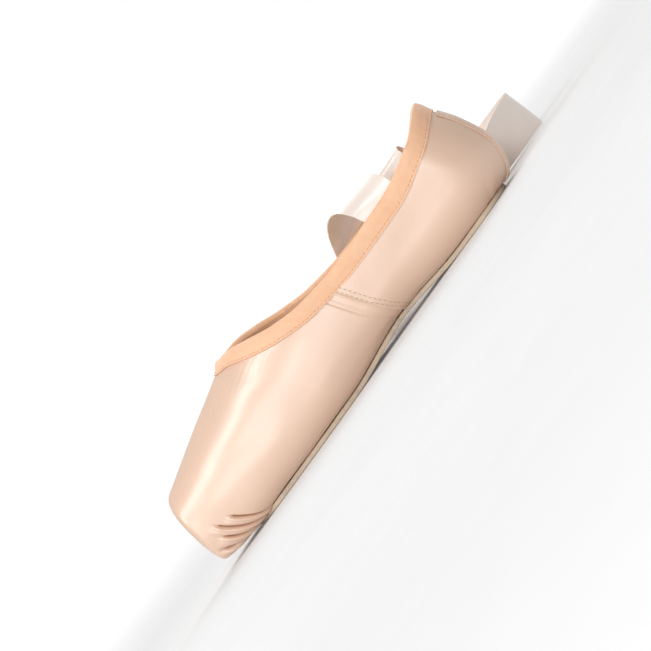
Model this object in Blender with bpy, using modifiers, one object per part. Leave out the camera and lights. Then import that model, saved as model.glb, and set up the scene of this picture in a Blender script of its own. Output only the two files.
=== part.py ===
# A pointe shoe, empty and unbent, standing on its outsole.
# Metres, +Z up. The toe points to -Y, the heel to +Y, and Z is 0 at the floor.
import math
from bisect import bisect_right
from collections import namedtuple

import bpy
from mathutils import Vector

MM = 0.001

# Driving dimensions of the last
LENGTH = 232 * MM
BALL_WIDTH = 68 * MM
WAIST_WIDTH = 53 * MM
HEEL_WIDTH = 53 * MM
INSTEP_HEIGHT = 60 * MM
WAIST_COLLAR_HEIGHT = 42 * MM
HEEL_HEIGHT = 55 * MM
PLATFORM_WIDTH = 42 * MM
PLATFORM_TOP = 42 * MM
PLATFORM_LIFT = 5.5 * MM
PLATFORM_LEAN = 0.13
PLATFORM_EDGE = 6 * MM
HEEL_TUCK = 9 * MM
HEEL_LEAN = 8 * MM
ARCH_RISE = 3.2 * MM

# Driving dimensions of the pieces
WALL = 1.8 * MM
GAP = 0.3 * MM
OUTSOLE_THICKNESS = 2.5 * MM
OUTSOLE_WIDTH = 50 * MM
OUTSOLE_WAIST = 28 * MM
OUTSOLE_HEEL = 37 * MM
OUTSOLE_BEVEL = 0.5 * MM
TIP_SETBACK = 24 * MM
HEEL_SETBACK = 14 * MM
CHANNEL_INSET = 2.2 * MM
CHANNEL_WIDTH = 1.0 * MM
CHANNEL_DEPTH = 0.6 * MM
INSOLE_THICKNESS = 2.0 * MM
INSOLE_INSET = 1.0 * MM
INSOLE_BEVEL = 0.4 * MM
LASTING_MARGIN = 6 * MM
FLAT_INSET = 1.5 * MM
BINDING_WIDTH = 8 * MM
BINDING_THICKNESS = 0.7 * MM
HEEL_STRIP_WIDTH = 13 * MM
HEEL_STRIP_THICKNESS = 0.7 * MM
HEEL_STRIP_CLEARANCE = 1.5 * MM
SEAM_STEP = 0.5 * MM
SEAM_BAND = 8 * MM
SEAM_EDGE = 1.0 * MM
PLEAT_DEPTH = 1.3 * MM
PLEAT_REACH = 12
RIBBON_WIDTH = 22 * MM
RIBBON_THICKNESS = 0.5 * MM

# Heights that follow from the stack of pieces
LAST_FLOOR = OUTSOLE_THICKNESS + GAP
INSOLE_LIFT = WALL + GAP

# Shares of the length where the side seam meets the collar, the widest line and the sole
SEAM_AT_COLLAR = 0.575
SEAM_AT_SIDE = 0.605
SEAM_AT_SOLE = 0.635
TOE_KNOT = 0.12
BALL_KNOT = 0.45
HEEL_KNOT = 0.87
THROAT = 0.33

# How far round the toe's own meridians reach, on the collar and on the sole's edge
COLLAR_TOE_REACH = 0.018 * LENGTH
SOLE_TOE_REACH = 0.065 * LENGTH

# Where a seam or pleat rises and sinks along a meridian: 0 feather, 1 widest line, 2 collar
SEAM_RISES = (0.2, 0.6)
SEAM_SINKS = (1.4, 1.65)
PLEAT_RISES = (0.15, 0.4)
PLEAT_SINKS = (0.55, 0.95)

# Meridians on one half of the shoe, from the middle of the toe to the middle of the heel
TOE_STEPS = 12
BOX_STEPS = 10
SIDE_STEPS = 5
QUARTER_STEPS = 8
HEEL_STEPS = 7
ROWS_BELOW = 8
ROWS_ABOVE = 10

# How closely curves are sampled and rays are followed
CURVE_STEPS = 400
RAY_HALVINGS = 36
RAY_SPREAD = 0.012
COLLAR_STEPS = 24

# How square the rounded edges are: 2 is an ellipse
PLATFORM_ROUNDNESS = 2.4
HEEL_ROUNDNESS = 2.0
UNDER_ROUNDNESS = 2.2

# A row for each section of the last, from the platform to the back of the heel
Section = namedtuple("Section", "station width crown widest roundness")
SECTIONS = [
    Section(0.00 * LENGTH, 1.00 * PLATFORM_WIDTH, 1.00 * PLATFORM_TOP, 0.56 * PLATFORM_TOP, 2.3),
    Section(0.03 * LENGTH, 1.04 * PLATFORM_WIDTH, 1.04 * PLATFORM_TOP, 0.54 * PLATFORM_TOP, 2.3),
    Section(0.11 * LENGTH, 0.78 * BALL_WIDTH, 0.81 * INSTEP_HEIGHT, 0.35 * INSTEP_HEIGHT, 2.3),
    Section(0.22 * LENGTH, 0.93 * BALL_WIDTH, 0.91 * INSTEP_HEIGHT, 0.32 * INSTEP_HEIGHT, 2.3),
    Section(0.33 * LENGTH, 1.00 * BALL_WIDTH, 1.00 * INSTEP_HEIGHT, 0.31 * INSTEP_HEIGHT, 2.4),
    Section(0.42 * LENGTH, 0.99 * BALL_WIDTH, 1.05 * INSTEP_HEIGHT, 0.31 * INSTEP_HEIGHT, 2.4),
    Section(0.62 * LENGTH, 1.02 * WAIST_WIDTH, 1.17 * INSTEP_HEIGHT, 0.35 * INSTEP_HEIGHT, 2.6),
    Section(0.76 * LENGTH, 0.98 * WAIST_WIDTH, 1.23 * INSTEP_HEIGHT, 0.35 * INSTEP_HEIGHT, 2.8),
    Section(0.88 * LENGTH, 1.00 * HEEL_WIDTH, 1.26 * INSTEP_HEIGHT, 0.35 * INSTEP_HEIGHT, 2.8),
    Section(1.00 * LENGTH, 1.00 * HEEL_WIDTH, 1.28 * INSTEP_HEIGHT, 0.35 * INSTEP_HEIGHT, 2.8),
]

# The underside of the last along its length: a lifted toe, two flats and the arch between them
Keel = namedtuple("Keel", "station height")
KEEL = [
    Keel(0.00 * LENGTH, PLATFORM_LIFT),
    Keel(0.10 * LENGTH, LAST_FLOOR + 0.15 * (PLATFORM_LIFT - LAST_FLOOR)),
    Keel(0.17 * LENGTH, LAST_FLOOR),
    Keel(0.44 * LENGTH, LAST_FLOOR),
    Keel(0.62 * LENGTH, LAST_FLOOR + ARCH_RISE),
    Keel(0.80 * LENGTH, LAST_FLOOR),
    Keel(1.00 * LENGTH, LAST_FLOOR),
]

# The collar's edge seen from the side, after the throat, where it leaves the crown
Collar = namedtuple("Collar", "station height")
COLLAR = [
    Collar(0.36 * LENGTH, 0.985 * INSTEP_HEIGHT),
    Collar(0.40 * LENGTH, 0.93 * INSTEP_HEIGHT),
    Collar(0.46 * LENGTH, 0.83 * INSTEP_HEIGHT),
    Collar(0.53 * LENGTH, 1.07 * WAIST_COLLAR_HEIGHT),
    Collar(0.64 * LENGTH, 1.00 * WAIST_COLLAR_HEIGHT),
    Collar(0.79 * LENGTH, 1.01 * WAIST_COLLAR_HEIGHT),
    Collar(0.91 * LENGTH, 0.87 * HEEL_HEIGHT),
]

# The back of the heel: how far it lies inside the full length, by height
Back = namedtuple("Back", "height inset")
HEEL_BACK = [
    Back(0.04 * HEEL_HEIGHT, 1.00 * HEEL_TUCK),
    Back(0.14 * HEEL_HEIGHT, 0.45 * HEEL_TUCK),
    Back(0.36 * HEEL_HEIGHT, 0.00 * HEEL_TUCK),
    Back(0.62 * HEEL_HEIGHT, 0.22 * HEEL_LEAN),
    Back(0.84 * HEEL_HEIGHT, 0.68 * HEEL_LEAN),
    Back(1.00 * HEEL_HEIGHT, 1.00 * HEEL_LEAN),
    Back(1.40 * HEEL_HEIGHT, 1.30 * HEEL_LEAN),
]

# The outsole's width along the last, before its tip and heel end are rounded
Tread = namedtuple("Tread", "station width")
OUTSOLE = [
    Tread(0.00 * LENGTH, 0.62 * OUTSOLE_WIDTH),
    Tread(0.10 * LENGTH, 0.72 * OUTSOLE_WIDTH),
    Tread(0.22 * LENGTH, 0.90 * OUTSOLE_WIDTH),
    Tread(0.36 * LENGTH, 1.00 * OUTSOLE_WIDTH),
    Tread(0.48 * LENGTH, 0.86 * OUTSOLE_WIDTH),
    Tread(0.63 * LENGTH, 1.00 * OUTSOLE_WAIST),
    Tread(0.76 * LENGTH, 0.88 * OUTSOLE_HEEL),
    Tread(0.88 * LENGTH, 1.00 * OUTSOLE_HEEL),
    Tread(1.00 * LENGTH, 1.00 * OUTSOLE_HEEL),
]
TIP_RADIUS = 0.40 * OUTSOLE_WIDTH
HEEL_END_RADIUS = 0.47 * OUTSOLE_HEEL


class SmoothCurve:
    """A monotone cubic through hand-set points, straight between two equal neighbours."""

    def __init__(self, inputs, outputs):
        self.inputs = list(inputs)
        self.outputs = list(outputs)
        steps = [b - a for a, b in zip(self.inputs, self.inputs[1:])]
        rises = [b - a for a, b in zip(self.outputs, self.outputs[1:])]
        grades = [rise / step for rise, step in zip(rises, steps)]
        self.slopes = [grades[0]]
        for before, after in zip(grades, grades[1:]):
            level = before * after <= 0
            self.slopes.append(0.0 if level else 2 * before * after / (before + after))
        self.slopes.append(grades[-1])

    def __call__(self, value):
        last = len(self.inputs) - 1
        if value <= self.inputs[0]:
            return self.outputs[0]
        if value >= self.inputs[last]:
            return self.outputs[last]
        k = bisect_right(self.inputs, value) - 1
        step = self.inputs[k + 1] - self.inputs[k]
        t = (value - self.inputs[k]) / step
        start = self.outputs[k] * (1 + 2 * t) * (1 - t) ** 2
        start += self.slopes[k] * step * t * (1 - t) ** 2
        end = self.outputs[k + 1] * t * t * (3 - 2 * t)
        end -= self.slopes[k + 1] * step * t * t * (1 - t)
        return start + end


def column(table, across, up):
    return SmoothCurve([getattr(row, across) for row in table], [getattr(row, up) for row in table])


width_at = column(SECTIONS, "station", "width")
crown_at = column(SECTIONS, "station", "crown")
widest_at = column(SECTIONS, "station", "widest")
roundness_at = column(SECTIONS, "station", "roundness")
keel_at = column(KEEL, "station", "height")
heel_inset_at = column(HEEL_BACK, "height", "inset")
outsole_width_at = column(OUTSOLE, "station", "width")


def toe_line(z):
    return PLATFORM_LEAN * (z - PLATFORM_LIFT)


def heel_line(z):
    return LENGTH - heel_inset_at(z)


def rounding(share, power):
    """How full a rounded end is, from 0 at its tip to 1 where it has its whole width."""
    if share >= 1:
        return 1.0
    return max(1 - (1 - max(share, 0.0)) ** power, 0.0) ** (1 / power)


def section_at(y, z):
    """The section through a point: its half width, flat half width, heights and roundness."""
    front = toe_line(z)
    back = heel_line(z)
    station = LENGTH * (y - front) / (back - front)
    if not 0 < station < LENGTH:
        return None
    nose = rounding(station / PLATFORM_EDGE, PLATFORM_ROUNDNESS)
    heel = rounding((LENGTH - station) / (HEEL_WIDTH / 2), HEEL_ROUNDNESS)
    half = width_at(station) / 2 * nose * heel
    flat = (outsole_width_at(station) / 2 - FLAT_INSET) * nose * heel
    middle = widest_at(station)
    up = (crown_at(station) - middle) * nose
    down = (middle - keel_at(y)) * nose
    return half, flat, middle, up, down, roundness_at(station)


def fullness(x, y, z):
    """Below 1 inside the last, 1 on its surface and above 1 outside."""
    section = section_at(y, z)
    if section is None:
        return 2.0
    half, flat, middle, up, down, roundness = section
    if z >= middle:
        return (abs(x) / half) ** roundness + ((z - middle) / up) ** roundness
    beyond = max(abs(x) - flat, 0.0) / (half - flat)
    return beyond ** UNDER_ROUNDNESS + ((middle - z) / down) ** UNDER_ROUNDNESS


def on_last(origin, direction):
    """Where a ray that starts inside the last leaves it."""
    near = 0.0
    far = LENGTH
    for _ in range(RAY_HALVINGS):
        reach = (near + far) / 2
        if fullness(*(origin + direction * reach)) < 1:
            near = reach
        else:
            far = reach
    return origin + direction * near


def outward(axis, point):
    """The direction straight out of the last's surface, at a point that is seen from an axis."""
    ahead = (point - axis).normalized()
    across = ahead.orthogonal().normalized()
    along = ahead.cross(across)
    width = on_last(axis, ahead + across * RAY_SPREAD) - on_last(axis, ahead - across * RAY_SPREAD)
    height = on_last(axis, ahead + along * RAY_SPREAD) - on_last(axis, ahead - along * RAY_SPREAD)
    return width.cross(height).normalized()


def side_of_last(y, z):
    """The half width of the last at a place along it, at a height above its widest line."""
    section = section_at(y, z)
    if section is None:
        return 0.0
    half, _, middle, up, _, roundness = section
    share = min(max((z - middle) / up, 0.0), 1.0)
    return half * (1 - share ** roundness) ** (1 / roundness)


COLLAR_START = THROAT * LENGTH
COLLAR_END = heel_line(HEEL_HEIGHT)
throat = on_last(Vector((0.0, COLLAR_START, widest_at(COLLAR_START))), Vector((0.0, 0.0, 1.0)))
collar_rows = [Collar(COLLAR_START, throat.z)] + COLLAR + [Collar(COLLAR_END, HEEL_HEIGHT)]
collar_at = column(collar_rows, "station", "height")


def eased(count):
    """Shares from 0 to 1, closer together at both ends."""
    return [(1 - math.cos(math.pi * k / count)) / 2 for k in range(count + 1)]


def collar_curve():
    points = []
    for share in eased(CURVE_STEPS):
        y = COLLAR_START + share * (COLLAR_END - COLLAR_START)
        z = collar_at(y)
        points.append(Vector((side_of_last(y, z), y, z)))
    points[0].x = 0.0
    points[-1].x = 0.0
    return points


def widest_curve():
    points = []
    for share in eased(CURVE_STEPS):
        z = widest_at(share * LENGTH)
        front = toe_line(z)
        y = front + share * (heel_line(z) - front)
        points.append(Vector((side_of_last(y, z), y, z)))
    return points


def sole_half_width(y, inset):
    """Half the width of the outsole's outline, drawn in by an inset."""
    tip = (y - TIP_SETBACK - inset) / (TIP_RADIUS - inset)
    end = (LENGTH - HEEL_SETBACK - inset - y) / (HEEL_END_RADIUS - inset)
    ends = rounding(tip, HEEL_ROUNDNESS) * rounding(end, HEEL_ROUNDNESS)
    return (outsole_width_at(y) / 2 - inset) * ends


def sole_curve(inset, lift=0.0):
    points = []
    start = TIP_SETBACK + inset
    end = LENGTH - HEEL_SETBACK - inset
    for share in eased(CURVE_STEPS):
        y = start + share * (end - start)
        points.append(Vector((sole_half_width(y, inset), y, keel_at(y) + lift)))
    return points


def spread(points, cuts, counts):
    """Points evenly along each stretch of a curve, which is cut where it passes each station."""
    runs = [0.0]
    for before, after in zip(points, points[1:]):
        runs.append(runs[-1] + (after - before).length)
    marks = [0.0]
    for cut in cuts:
        k = next(k for k, point in enumerate(points) if point.y > cut)
        share = (cut - points[k - 1].y) / (points[k].y - points[k - 1].y)
        marks.append(runs[k - 1] + share * (runs[k] - runs[k - 1]))
    marks.append(runs[-1])
    spread_out = [points[0].copy()]
    for start, end, count in zip(marks, marks[1:], counts):
        for step in range(1, count + 1):
            run = start + (end - start) * step / count
            k = min(max(bisect_right(runs, run) - 1, 0), len(points) - 2)
            share = (run - runs[k]) / (runs[k + 1] - runs[k])
            spread_out.append(points[k].lerp(points[k + 1], share))
    spread_out[-1] = points[-1].copy()
    return spread_out


MERIDIAN_COUNTS = [TOE_STEPS, BOX_STEPS, SIDE_STEPS, 1, 1, QUARTER_STEPS, HEEL_STEPS]
SEAM_INDEX = TOE_STEPS + BOX_STEPS + SIDE_STEPS


def cuts_for(toe, ball, seam, heel):
    return [toe, ball, seam, seam + SEAM_EDGE, seam + SEAM_BAND, heel]


def meridian_ends():
    """The feather, widest and collar points of each meridian of the near half."""
    ball = BALL_KNOT * LENGTH
    heel = HEEL_KNOT * LENGTH
    collar_cuts = cuts_for(COLLAR_START + COLLAR_TOE_REACH, ball, SEAM_AT_COLLAR * LENGTH, heel)
    side_cuts = cuts_for(TOE_KNOT * LENGTH, ball, SEAM_AT_SIDE * LENGTH, heel)
    sole_toe = TIP_SETBACK + LASTING_MARGIN + SOLE_TOE_REACH
    sole_cuts = cuts_for(sole_toe, ball, SEAM_AT_SOLE * LENGTH, heel)
    feather = spread(sole_curve(LASTING_MARGIN), sole_cuts, MERIDIAN_COUNTS)
    widest = spread(widest_curve(), side_cuts, MERIDIAN_COUNTS)
    collar = spread(collar_curve(), collar_cuts, MERIDIAN_COUNTS)
    return list(zip(feather, widest, collar))


HEEL_CENTRE = LENGTH - HEEL_WIDTH / 2


def meridian_axis(feather, widest, collar):
    """The point on the shoe's middle line that a meridian's rays start from."""
    y = min((feather.y + widest.y + collar.y) / 3, HEEL_CENTRE)
    return Vector((0.0, y, widest_at(y)))


def meridian_point(ends, share):
    """A point on the last along a meridian: 0 at the feather, 1 at the widest line, 2 at the collar."""
    feather, widest, collar = ends
    if share <= 0:
        return feather.copy()
    if share >= 2:
        return collar.copy()
    axis = meridian_axis(*ends)
    level = Vector((widest.x, widest.y - axis.y, 0.0)).normalized()
    if share <= 1:
        low = (feather - axis).normalized()
        return on_last(axis, low.slerp(level, share))
    high = (collar - axis).normalized()
    return on_last(axis, level.slerp(high, share - 1))


def soft_step(value, low, high):
    share = min(max((value - low) / (high - low), 0.0), 1.0)
    return share * share * (3 - 2 * share)


def seam_lift(index, share):
    """The quarter's edge stands proud just behind the side seam, and sinks at the sole and the binding."""
    band = {SEAM_INDEX + 1: SEAM_STEP, SEAM_INDEX + 2: 0.35 * SEAM_STEP}
    along = soft_step(share, *SEAM_RISES) * (1 - soft_step(share, *SEAM_SINKS))
    return band.get(index, 0.0) * along


def pleat_sink(index, share):
    """Each second meridian round the toe is drawn in, deepest between the sole and the platform."""
    if index % 2 == 0 or index > PLEAT_REACH:
        return 0.0
    return PLEAT_DEPTH * soft_step(share, *PLEAT_RISES) * (1 - soft_step(share, *PLEAT_SINKS))


def row_shares():
    below = [k / ROWS_BELOW for k in range(ROWS_BELOW)]
    above = [1 + k / ROWS_ABOVE for k in range(ROWS_ABOVE + 1)]
    return below + above


def upper_point(ends, index, share):
    point = meridian_point(ends, share)
    lift = seam_lift(index, share) - pleat_sink(index, share)
    if lift:
        point += outward(meridian_axis(*ends), point) * lift
    return point


def mirrored(points):
    return [Vector((-point.x, point.y, point.z)) for point in points]


def all_round(half):
    """The near half's meridians, then the far half's back from the heel to the toe."""
    far = [mirrored(meridian) for meridian in half[1:-1]]
    return half + far[::-1]


def make_object(name, vertices, faces, material, collection):
    mesh = bpy.data.meshes.new(name)
    mesh.from_pydata([tuple(vertex) for vertex in vertices], [], faces)
    mesh.shade_smooth()
    mesh.set_sharp_from_angle(angle=math.radians(40))
    mesh.materials.append(material)
    piece = bpy.data.objects.new(name, mesh)
    collection.objects.link(piece)
    return piece


def ring_faces(rings, closed_round, closed_across):
    """Quads between neighbouring rings of equally many points."""
    across = len(rings[0])
    faces = []
    for i in range(len(rings) if closed_round else len(rings) - 1):
        following = (i + 1) % len(rings)
        for j in range(across if closed_across else across - 1):
            beside = (j + 1) % across
            this_ring = i * across
            next_ring = following * across
            faces.append((this_ring + j, next_ring + j, next_ring + beside, this_ring + beside))
    return faces


def flat_list(rings):
    return [point for ring in rings for point in ring]


def halved(faces):
    """Each quad as two triangles, for a twisted piece that must read the same in every program."""
    triangles = []
    for first, second, third, fourth in faces:
        triangles.append((first, second, third))
        triangles.append((first, third, fourth))
    return triangles


def make_material(name, colour, roughness):
    material = bpy.data.materials.new(name)
    material.use_nodes = True
    shader = material.node_tree.nodes["Principled BSDF"]
    shader.inputs["Base Color"].default_value = (*colour, 1.0)
    shader.inputs["Roughness"].default_value = roughness
    shader.inputs["Metallic"].default_value = 0.0
    return material


def make_upper(ends, collection):
    """The satin upper: one sheet round the foot, from its turned-in margin to the collar."""
    half = [[upper_point(end, index, share) for share in row_shares()] for index, end in enumerate(ends)]
    meridians = all_round(half)
    satin = make_material("satin", (0.86, 0.70, 0.56), 0.35)
    faces = ring_faces(meridians, True, False)
    upper = make_object("upper", flat_list(meridians), faces, satin, collection)
    shell = upper.modifiers.new("wall", "SOLIDIFY")
    shell.thickness = WALL
    shell.offset = -1
    shell.use_even_offset = True
    return upper


def down_from_collar(ends, distance):
    """The point of the last at a distance down a meridian from the collar."""
    before = meridian_point(ends, 2.0)
    run = 0.0
    for k in range(1, COLLAR_STEPS + 1):
        point = meridian_point(ends, 2.0 - k / COLLAR_STEPS)
        stretch = (point - before).length
        if run + stretch >= distance:
            break
        run += stretch
        before = point
    return before.lerp(point, (distance - run) / stretch)


def make_binding(ends, collection):
    """A folded tape: an outer leg, the fold over the collar's edge and an inner leg."""
    outer = GAP + BINDING_THICKNESS
    inner = -WALL - GAP
    rings = []
    for end in ends:
        spots = []
        for distance in (0.0, BINDING_WIDTH / 2, BINDING_WIDTH):
            point = down_from_collar(end, distance)
            spots.append((point, outward(meridian_axis(*end), point)))
        inner_spots = [spots[0], spots[2]]
        top, way = spots[0]
        rise = (top - spots[1][0]).normalized()
        rise = (rise - way * rise.dot(way)).normalized()
        fold = top + rise * (GAP + BINDING_THICKNESS)
        under_fold = top + rise * GAP
        ring = [point + normal * outer for point, normal in spots[::-1]]
        ring.append(fold)
        ring.append(fold - way * WALL)
        ring += [point + normal * (inner - BINDING_THICKNESS) for point, normal in inner_spots]
        ring += [point + normal * inner for point, normal in inner_spots[::-1]]
        ring.append(under_fold - way * (WALL + GAP))
        ring.append(under_fold + way * GAP)
        ring += [point + normal * GAP for point, normal in spots]
        rings.append(ring)
    rings = all_round(rings)
    tape = make_material("binding_tape", (0.90, 0.62, 0.42), 0.55)
    return make_object("binding", flat_list(rings), ring_faces(rings, True, True), tape, collection)


def end_caps(rings_between, across, columns):
    """Quads across the first and last ring of a loft, between its two halves."""
    faces = []
    for base, flip in ((0, False), (rings_between * across, True)):
        for near, beyond, far_beyond, far in columns:
            corners = list(dict.fromkeys([base + near, base + beyond, base + far_beyond, base + far]))
            faces.append(tuple(corners[::-1] if flip else corners))
    return faces


PLATE_COUNTS = [5, 9, 10, 5]


def plate_half(inset, lift):
    start = TIP_SETBACK + inset
    end = LENGTH - HEEL_SETBACK - inset
    cuts = [start + 0.5 * TIP_RADIUS, BALL_KNOT * LENGTH, end - 0.5 * HEEL_END_RADIUS]
    return spread(sole_curve(inset, lift), cuts, PLATE_COUNTS)


def make_plate(name, levels, material, collection):
    """A plate that follows the last's underside, lofted through outlines of given inset and height."""
    halves = [plate_half(inset, lift) for inset, lift in levels]
    outlines = [half + mirrored(half[1:-1])[::-1] for half in halves]
    across = len(outlines[0])
    columns = [(k, k + 1, across - k - 1, (across - k) % across) for k in range(sum(PLATE_COUNTS))]
    faces = ring_faces(outlines, False, True) + end_caps(len(outlines) - 1, across, columns)
    return make_object(name, flat_list(outlines), faces, material, collection)


def make_outsole(collection):
    top = -GAP
    bottom = -GAP - OUTSOLE_THICKNESS
    levels = [
        (OUTSOLE_BEVEL, top),
        (0.0, top - OUTSOLE_BEVEL),
        (0.0, bottom + OUTSOLE_BEVEL),
        (OUTSOLE_BEVEL, bottom),
        (CHANNEL_INSET, bottom),
        (CHANNEL_INSET + 0.25 * CHANNEL_WIDTH, bottom + CHANNEL_DEPTH),
        (CHANNEL_INSET + 0.75 * CHANNEL_WIDTH, bottom + CHANNEL_DEPTH),
        (CHANNEL_INSET + CHANNEL_WIDTH, bottom),
    ]
    leather = make_material("outsole_leather", (0.55, 0.42, 0.34), 0.7)
    return make_plate("outsole", levels, leather, collection)


def make_insole(collection):
    bottom = INSOLE_LIFT
    top = INSOLE_LIFT + INSOLE_THICKNESS
    levels = [
        (INSOLE_INSET + INSOLE_BEVEL, top),
        (INSOLE_INSET, top - INSOLE_BEVEL),
        (INSOLE_INSET, bottom + INSOLE_BEVEL),
        (INSOLE_INSET + INSOLE_BEVEL, bottom),
    ]
    board = make_material("insole_lining", (0.80, 0.72, 0.62), 0.8)
    return make_plate("insole", levels, board, collection)


HEEL_STRIP_ROWS = 16
HEEL_STRIP_COLUMNS = 6


def make_heel_strip(collection):
    """A tape over the back seam, laid on the last's own surface from the binding to the sole."""
    axis = Vector((0.0, HEEL_CENTRE, widest_at(LENGTH)))
    high = HEEL_HEIGHT - BINDING_WIDTH - HEEL_STRIP_CLEARANCE
    foot = Vector((0.0, LENGTH - HEEL_SETBACK + HEEL_STRIP_CLEARANCE, keel_at(LENGTH)))
    low_way = (foot - axis).normalized()
    high_way = (Vector((0.0, heel_line(high), high)) - axis).normalized()
    level = Vector((0.0, 1.0, 0.0))
    rings = []
    for row in range(HEEL_STRIP_ROWS + 1):
        share = 2 * row / HEEL_STRIP_ROWS
        way = low_way.slerp(level, share) if share <= 1 else level.slerp(high_way, share - 1)
        centre = on_last(axis, way)
        near_face = []
        far_face = []
        for step in range(HEEL_STRIP_COLUMNS + 1):
            start = axis.copy()
            start.x = HEEL_STRIP_WIDTH * (step / HEEL_STRIP_COLUMNS - 0.5)
            aim = (Vector((start.x, centre.y, centre.z)) - start).normalized()
            point = on_last(start, aim)
            normal = outward(start, point)
            near_face.append(point + normal * (GAP + HEEL_STRIP_THICKNESS))
            far_face.append(point + normal * GAP)
        rings.append(near_face + far_face[::-1])
    across = len(rings[0])
    columns = [(k, k + 1, across - k - 2, across - k - 1) for k in range(HEEL_STRIP_COLUMNS)]
    faces = ring_faces(rings, False, True) + end_caps(HEEL_STRIP_ROWS, across, columns)
    tape = make_material("heel_tape", (0.88, 0.72, 0.60), 0.4)
    return make_object("heel_strip", flat_list(rings), faces, tape, collection)


# Each ribbon's route, chosen by hand, in millimetres: x, y from the toe, the height of its lower
# edge, and where its width points, as a compass turn and a lean from level in degrees
RibbonPoint = namedtuple("RibbonPoint", "x y lift turn lean")
RIBBON_LEFT = [
    RibbonPoint(21.2, 182, 17, 90, 0),
    RibbonPoint(21.2, 182, 30, 90, 0),
    RibbonPoint(20.8, 181, 42, 90, 0),
    RibbonPoint(17, 179, 50, 100, 0),
    RibbonPoint(8, 174, 55.5, 112, 0),
    RibbonPoint(-5, 167, 56, 117, 0),
    RibbonPoint(-18, 160, 52.5, 117, 0),
    RibbonPoint(-29, 154, 46, 117, 0),
    RibbonPoint(-35, 149, 37, 117, 0),
    RibbonPoint(-39, 145, 25, 118, 5),
    RibbonPoint(-45, 138, 12, 122, 12),
    RibbonPoint(-56, 127, 3, 130, 25),
    RibbonPoint(-74, 111, 0, 140, 55),
    RibbonPoint(-86, 88, 0, 177, 85),
    RibbonPoint(-77, 63, 0, 208, 75),
    RibbonPoint(-62, 40, 0, 203, 55),
    RibbonPoint(-60, 17, 0, 160, 80),
    RibbonPoint(-76, 1, 0, 110, 88),
    RibbonPoint(-97, 3, 0, 56, 85),
    RibbonPoint(-108, 23, 0, 9, 65),
    RibbonPoint(-105, 46, 0, 5, 45),
    RibbonPoint(-112, 68, 0, 37, 30),
    RibbonPoint(-130, 82, 0, 56, 14),
]
RIBBON_RIGHT = [
    RibbonPoint(-21.7, 189, 17, 90, 0),
    RibbonPoint(-21.7, 189, 30, 90, 0),
    RibbonPoint(-21.5, 189, 41, 90, 0),
    RibbonPoint(-23.5, 189, 49, 90, 0),
    RibbonPoint(-29.5, 190, 48, 90, 0),
    RibbonPoint(-33, 191, 39, 90, 0),
    RibbonPoint(-35, 193, 27, 88, 0),
    RibbonPoint(-38, 196, 14, 82, 5),
    RibbonPoint(-45, 203, 3, 65, 25),
    RibbonPoint(-56, 215, 0, 42, 50),
    RibbonPoint(-69, 232, 0, 48, 78),
    RibbonPoint(-89, 243, 0, 85, 88),
    RibbonPoint(-110, 236, 0, 133, 88),
    RibbonPoint(-119, 214, 0, 183, 85),
    RibbonPoint(-108, 192, 0, 215, 62),
    RibbonPoint(-91, 176, 0, 214, 58),
    RibbonPoint(-83, 154, 0, 171, 82),
    RibbonPoint(-97, 137, 0, 110, 88),
    RibbonPoint(-120, 139, 0, 70, 84),
    RibbonPoint(-139, 153, 0, 56, 62),
    RibbonPoint(-158, 168, 0, 60, 38),
    RibbonPoint(-178, 178, 0, 66, 16),
    RibbonPoint(-199, 184, 0, 70, 8),
]
RIBBON_SAMPLES = 2


def ribbon_frame(point):
    """A route point's place and width direction."""
    turn = math.radians(point.turn)
    lean = math.radians(point.lean)
    width = Vector((math.cos(turn) * math.cos(lean), math.sin(turn) * math.cos(lean), math.sin(lean)))
    return Vector((point.x, point.y, point.lift)) * MM, width


def between(values, k, share):
    """A Catmull-Rom curve through a list of vectors, on the stretch after its k-th."""
    before = values[max(k - 1, 0)]
    start = values[k]
    end = values[k + 1]
    after = values[min(k + 2, len(values) - 1)]
    bend = 2 * before - 5 * start + 4 * end - after
    turn = 3 * start - before - 3 * end + after
    return (2 * start + (end - before) * share + bend * share ** 2 + turn * share ** 3) / 2


def make_ribbon(name, route, collection):
    """A satin tape along its route, its lower edge no lower than the route says."""
    places, widths = zip(*[ribbon_frame(point) for point in route])
    centres = []
    ways = []
    for k in range(len(route) - 1):
        for step in range(RIBBON_SAMPLES):
            centres.append(between(places, k, step / RIBBON_SAMPLES))
            ways.append(between(widths, k, step / RIBBON_SAMPLES).normalized())
    centres.append(places[-1].copy())
    ways.append(widths[-1].normalized())
    for centre, way in zip(centres, ways):
        centre.z = max(centre.z, 0.0) + RIBBON_WIDTH / 2 * abs(way.z) + RIBBON_THICKNESS
    rings = []
    for k, centre in enumerate(centres):
        ahead = (centres[min(k + 1, len(centres) - 1)] - centres[max(k - 1, 0)]).normalized()
        across = (ways[k] - ahead * ways[k].dot(ahead)).normalized() * RIBBON_WIDTH / 2
        up = ahead.cross(across).normalized() * RIBBON_THICKNESS / 2
        near = centre + across
        far = centre - across
        rings.append([near + up, near - up, far - up, far + up])
    faces = ring_faces(rings, False, True)
    # The upper face's diagonals follow the lower's, so that a twisted stretch keeps its thickness
    faces[3::4] = [quad[1:] + quad[:1] for quad in faces[3::4]]
    faces = halved(faces + end_caps(len(rings) - 1, 4, [(0, 1, 2, 3)]))
    satin = make_material(name + "_satin", (0.93, 0.80, 0.72), 0.3)
    return make_object(name, flat_list(rings), faces, satin, collection)


def clear_scene():
    for old in list(bpy.data.objects):
        bpy.data.objects.remove(old, do_unlink=True)


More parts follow.
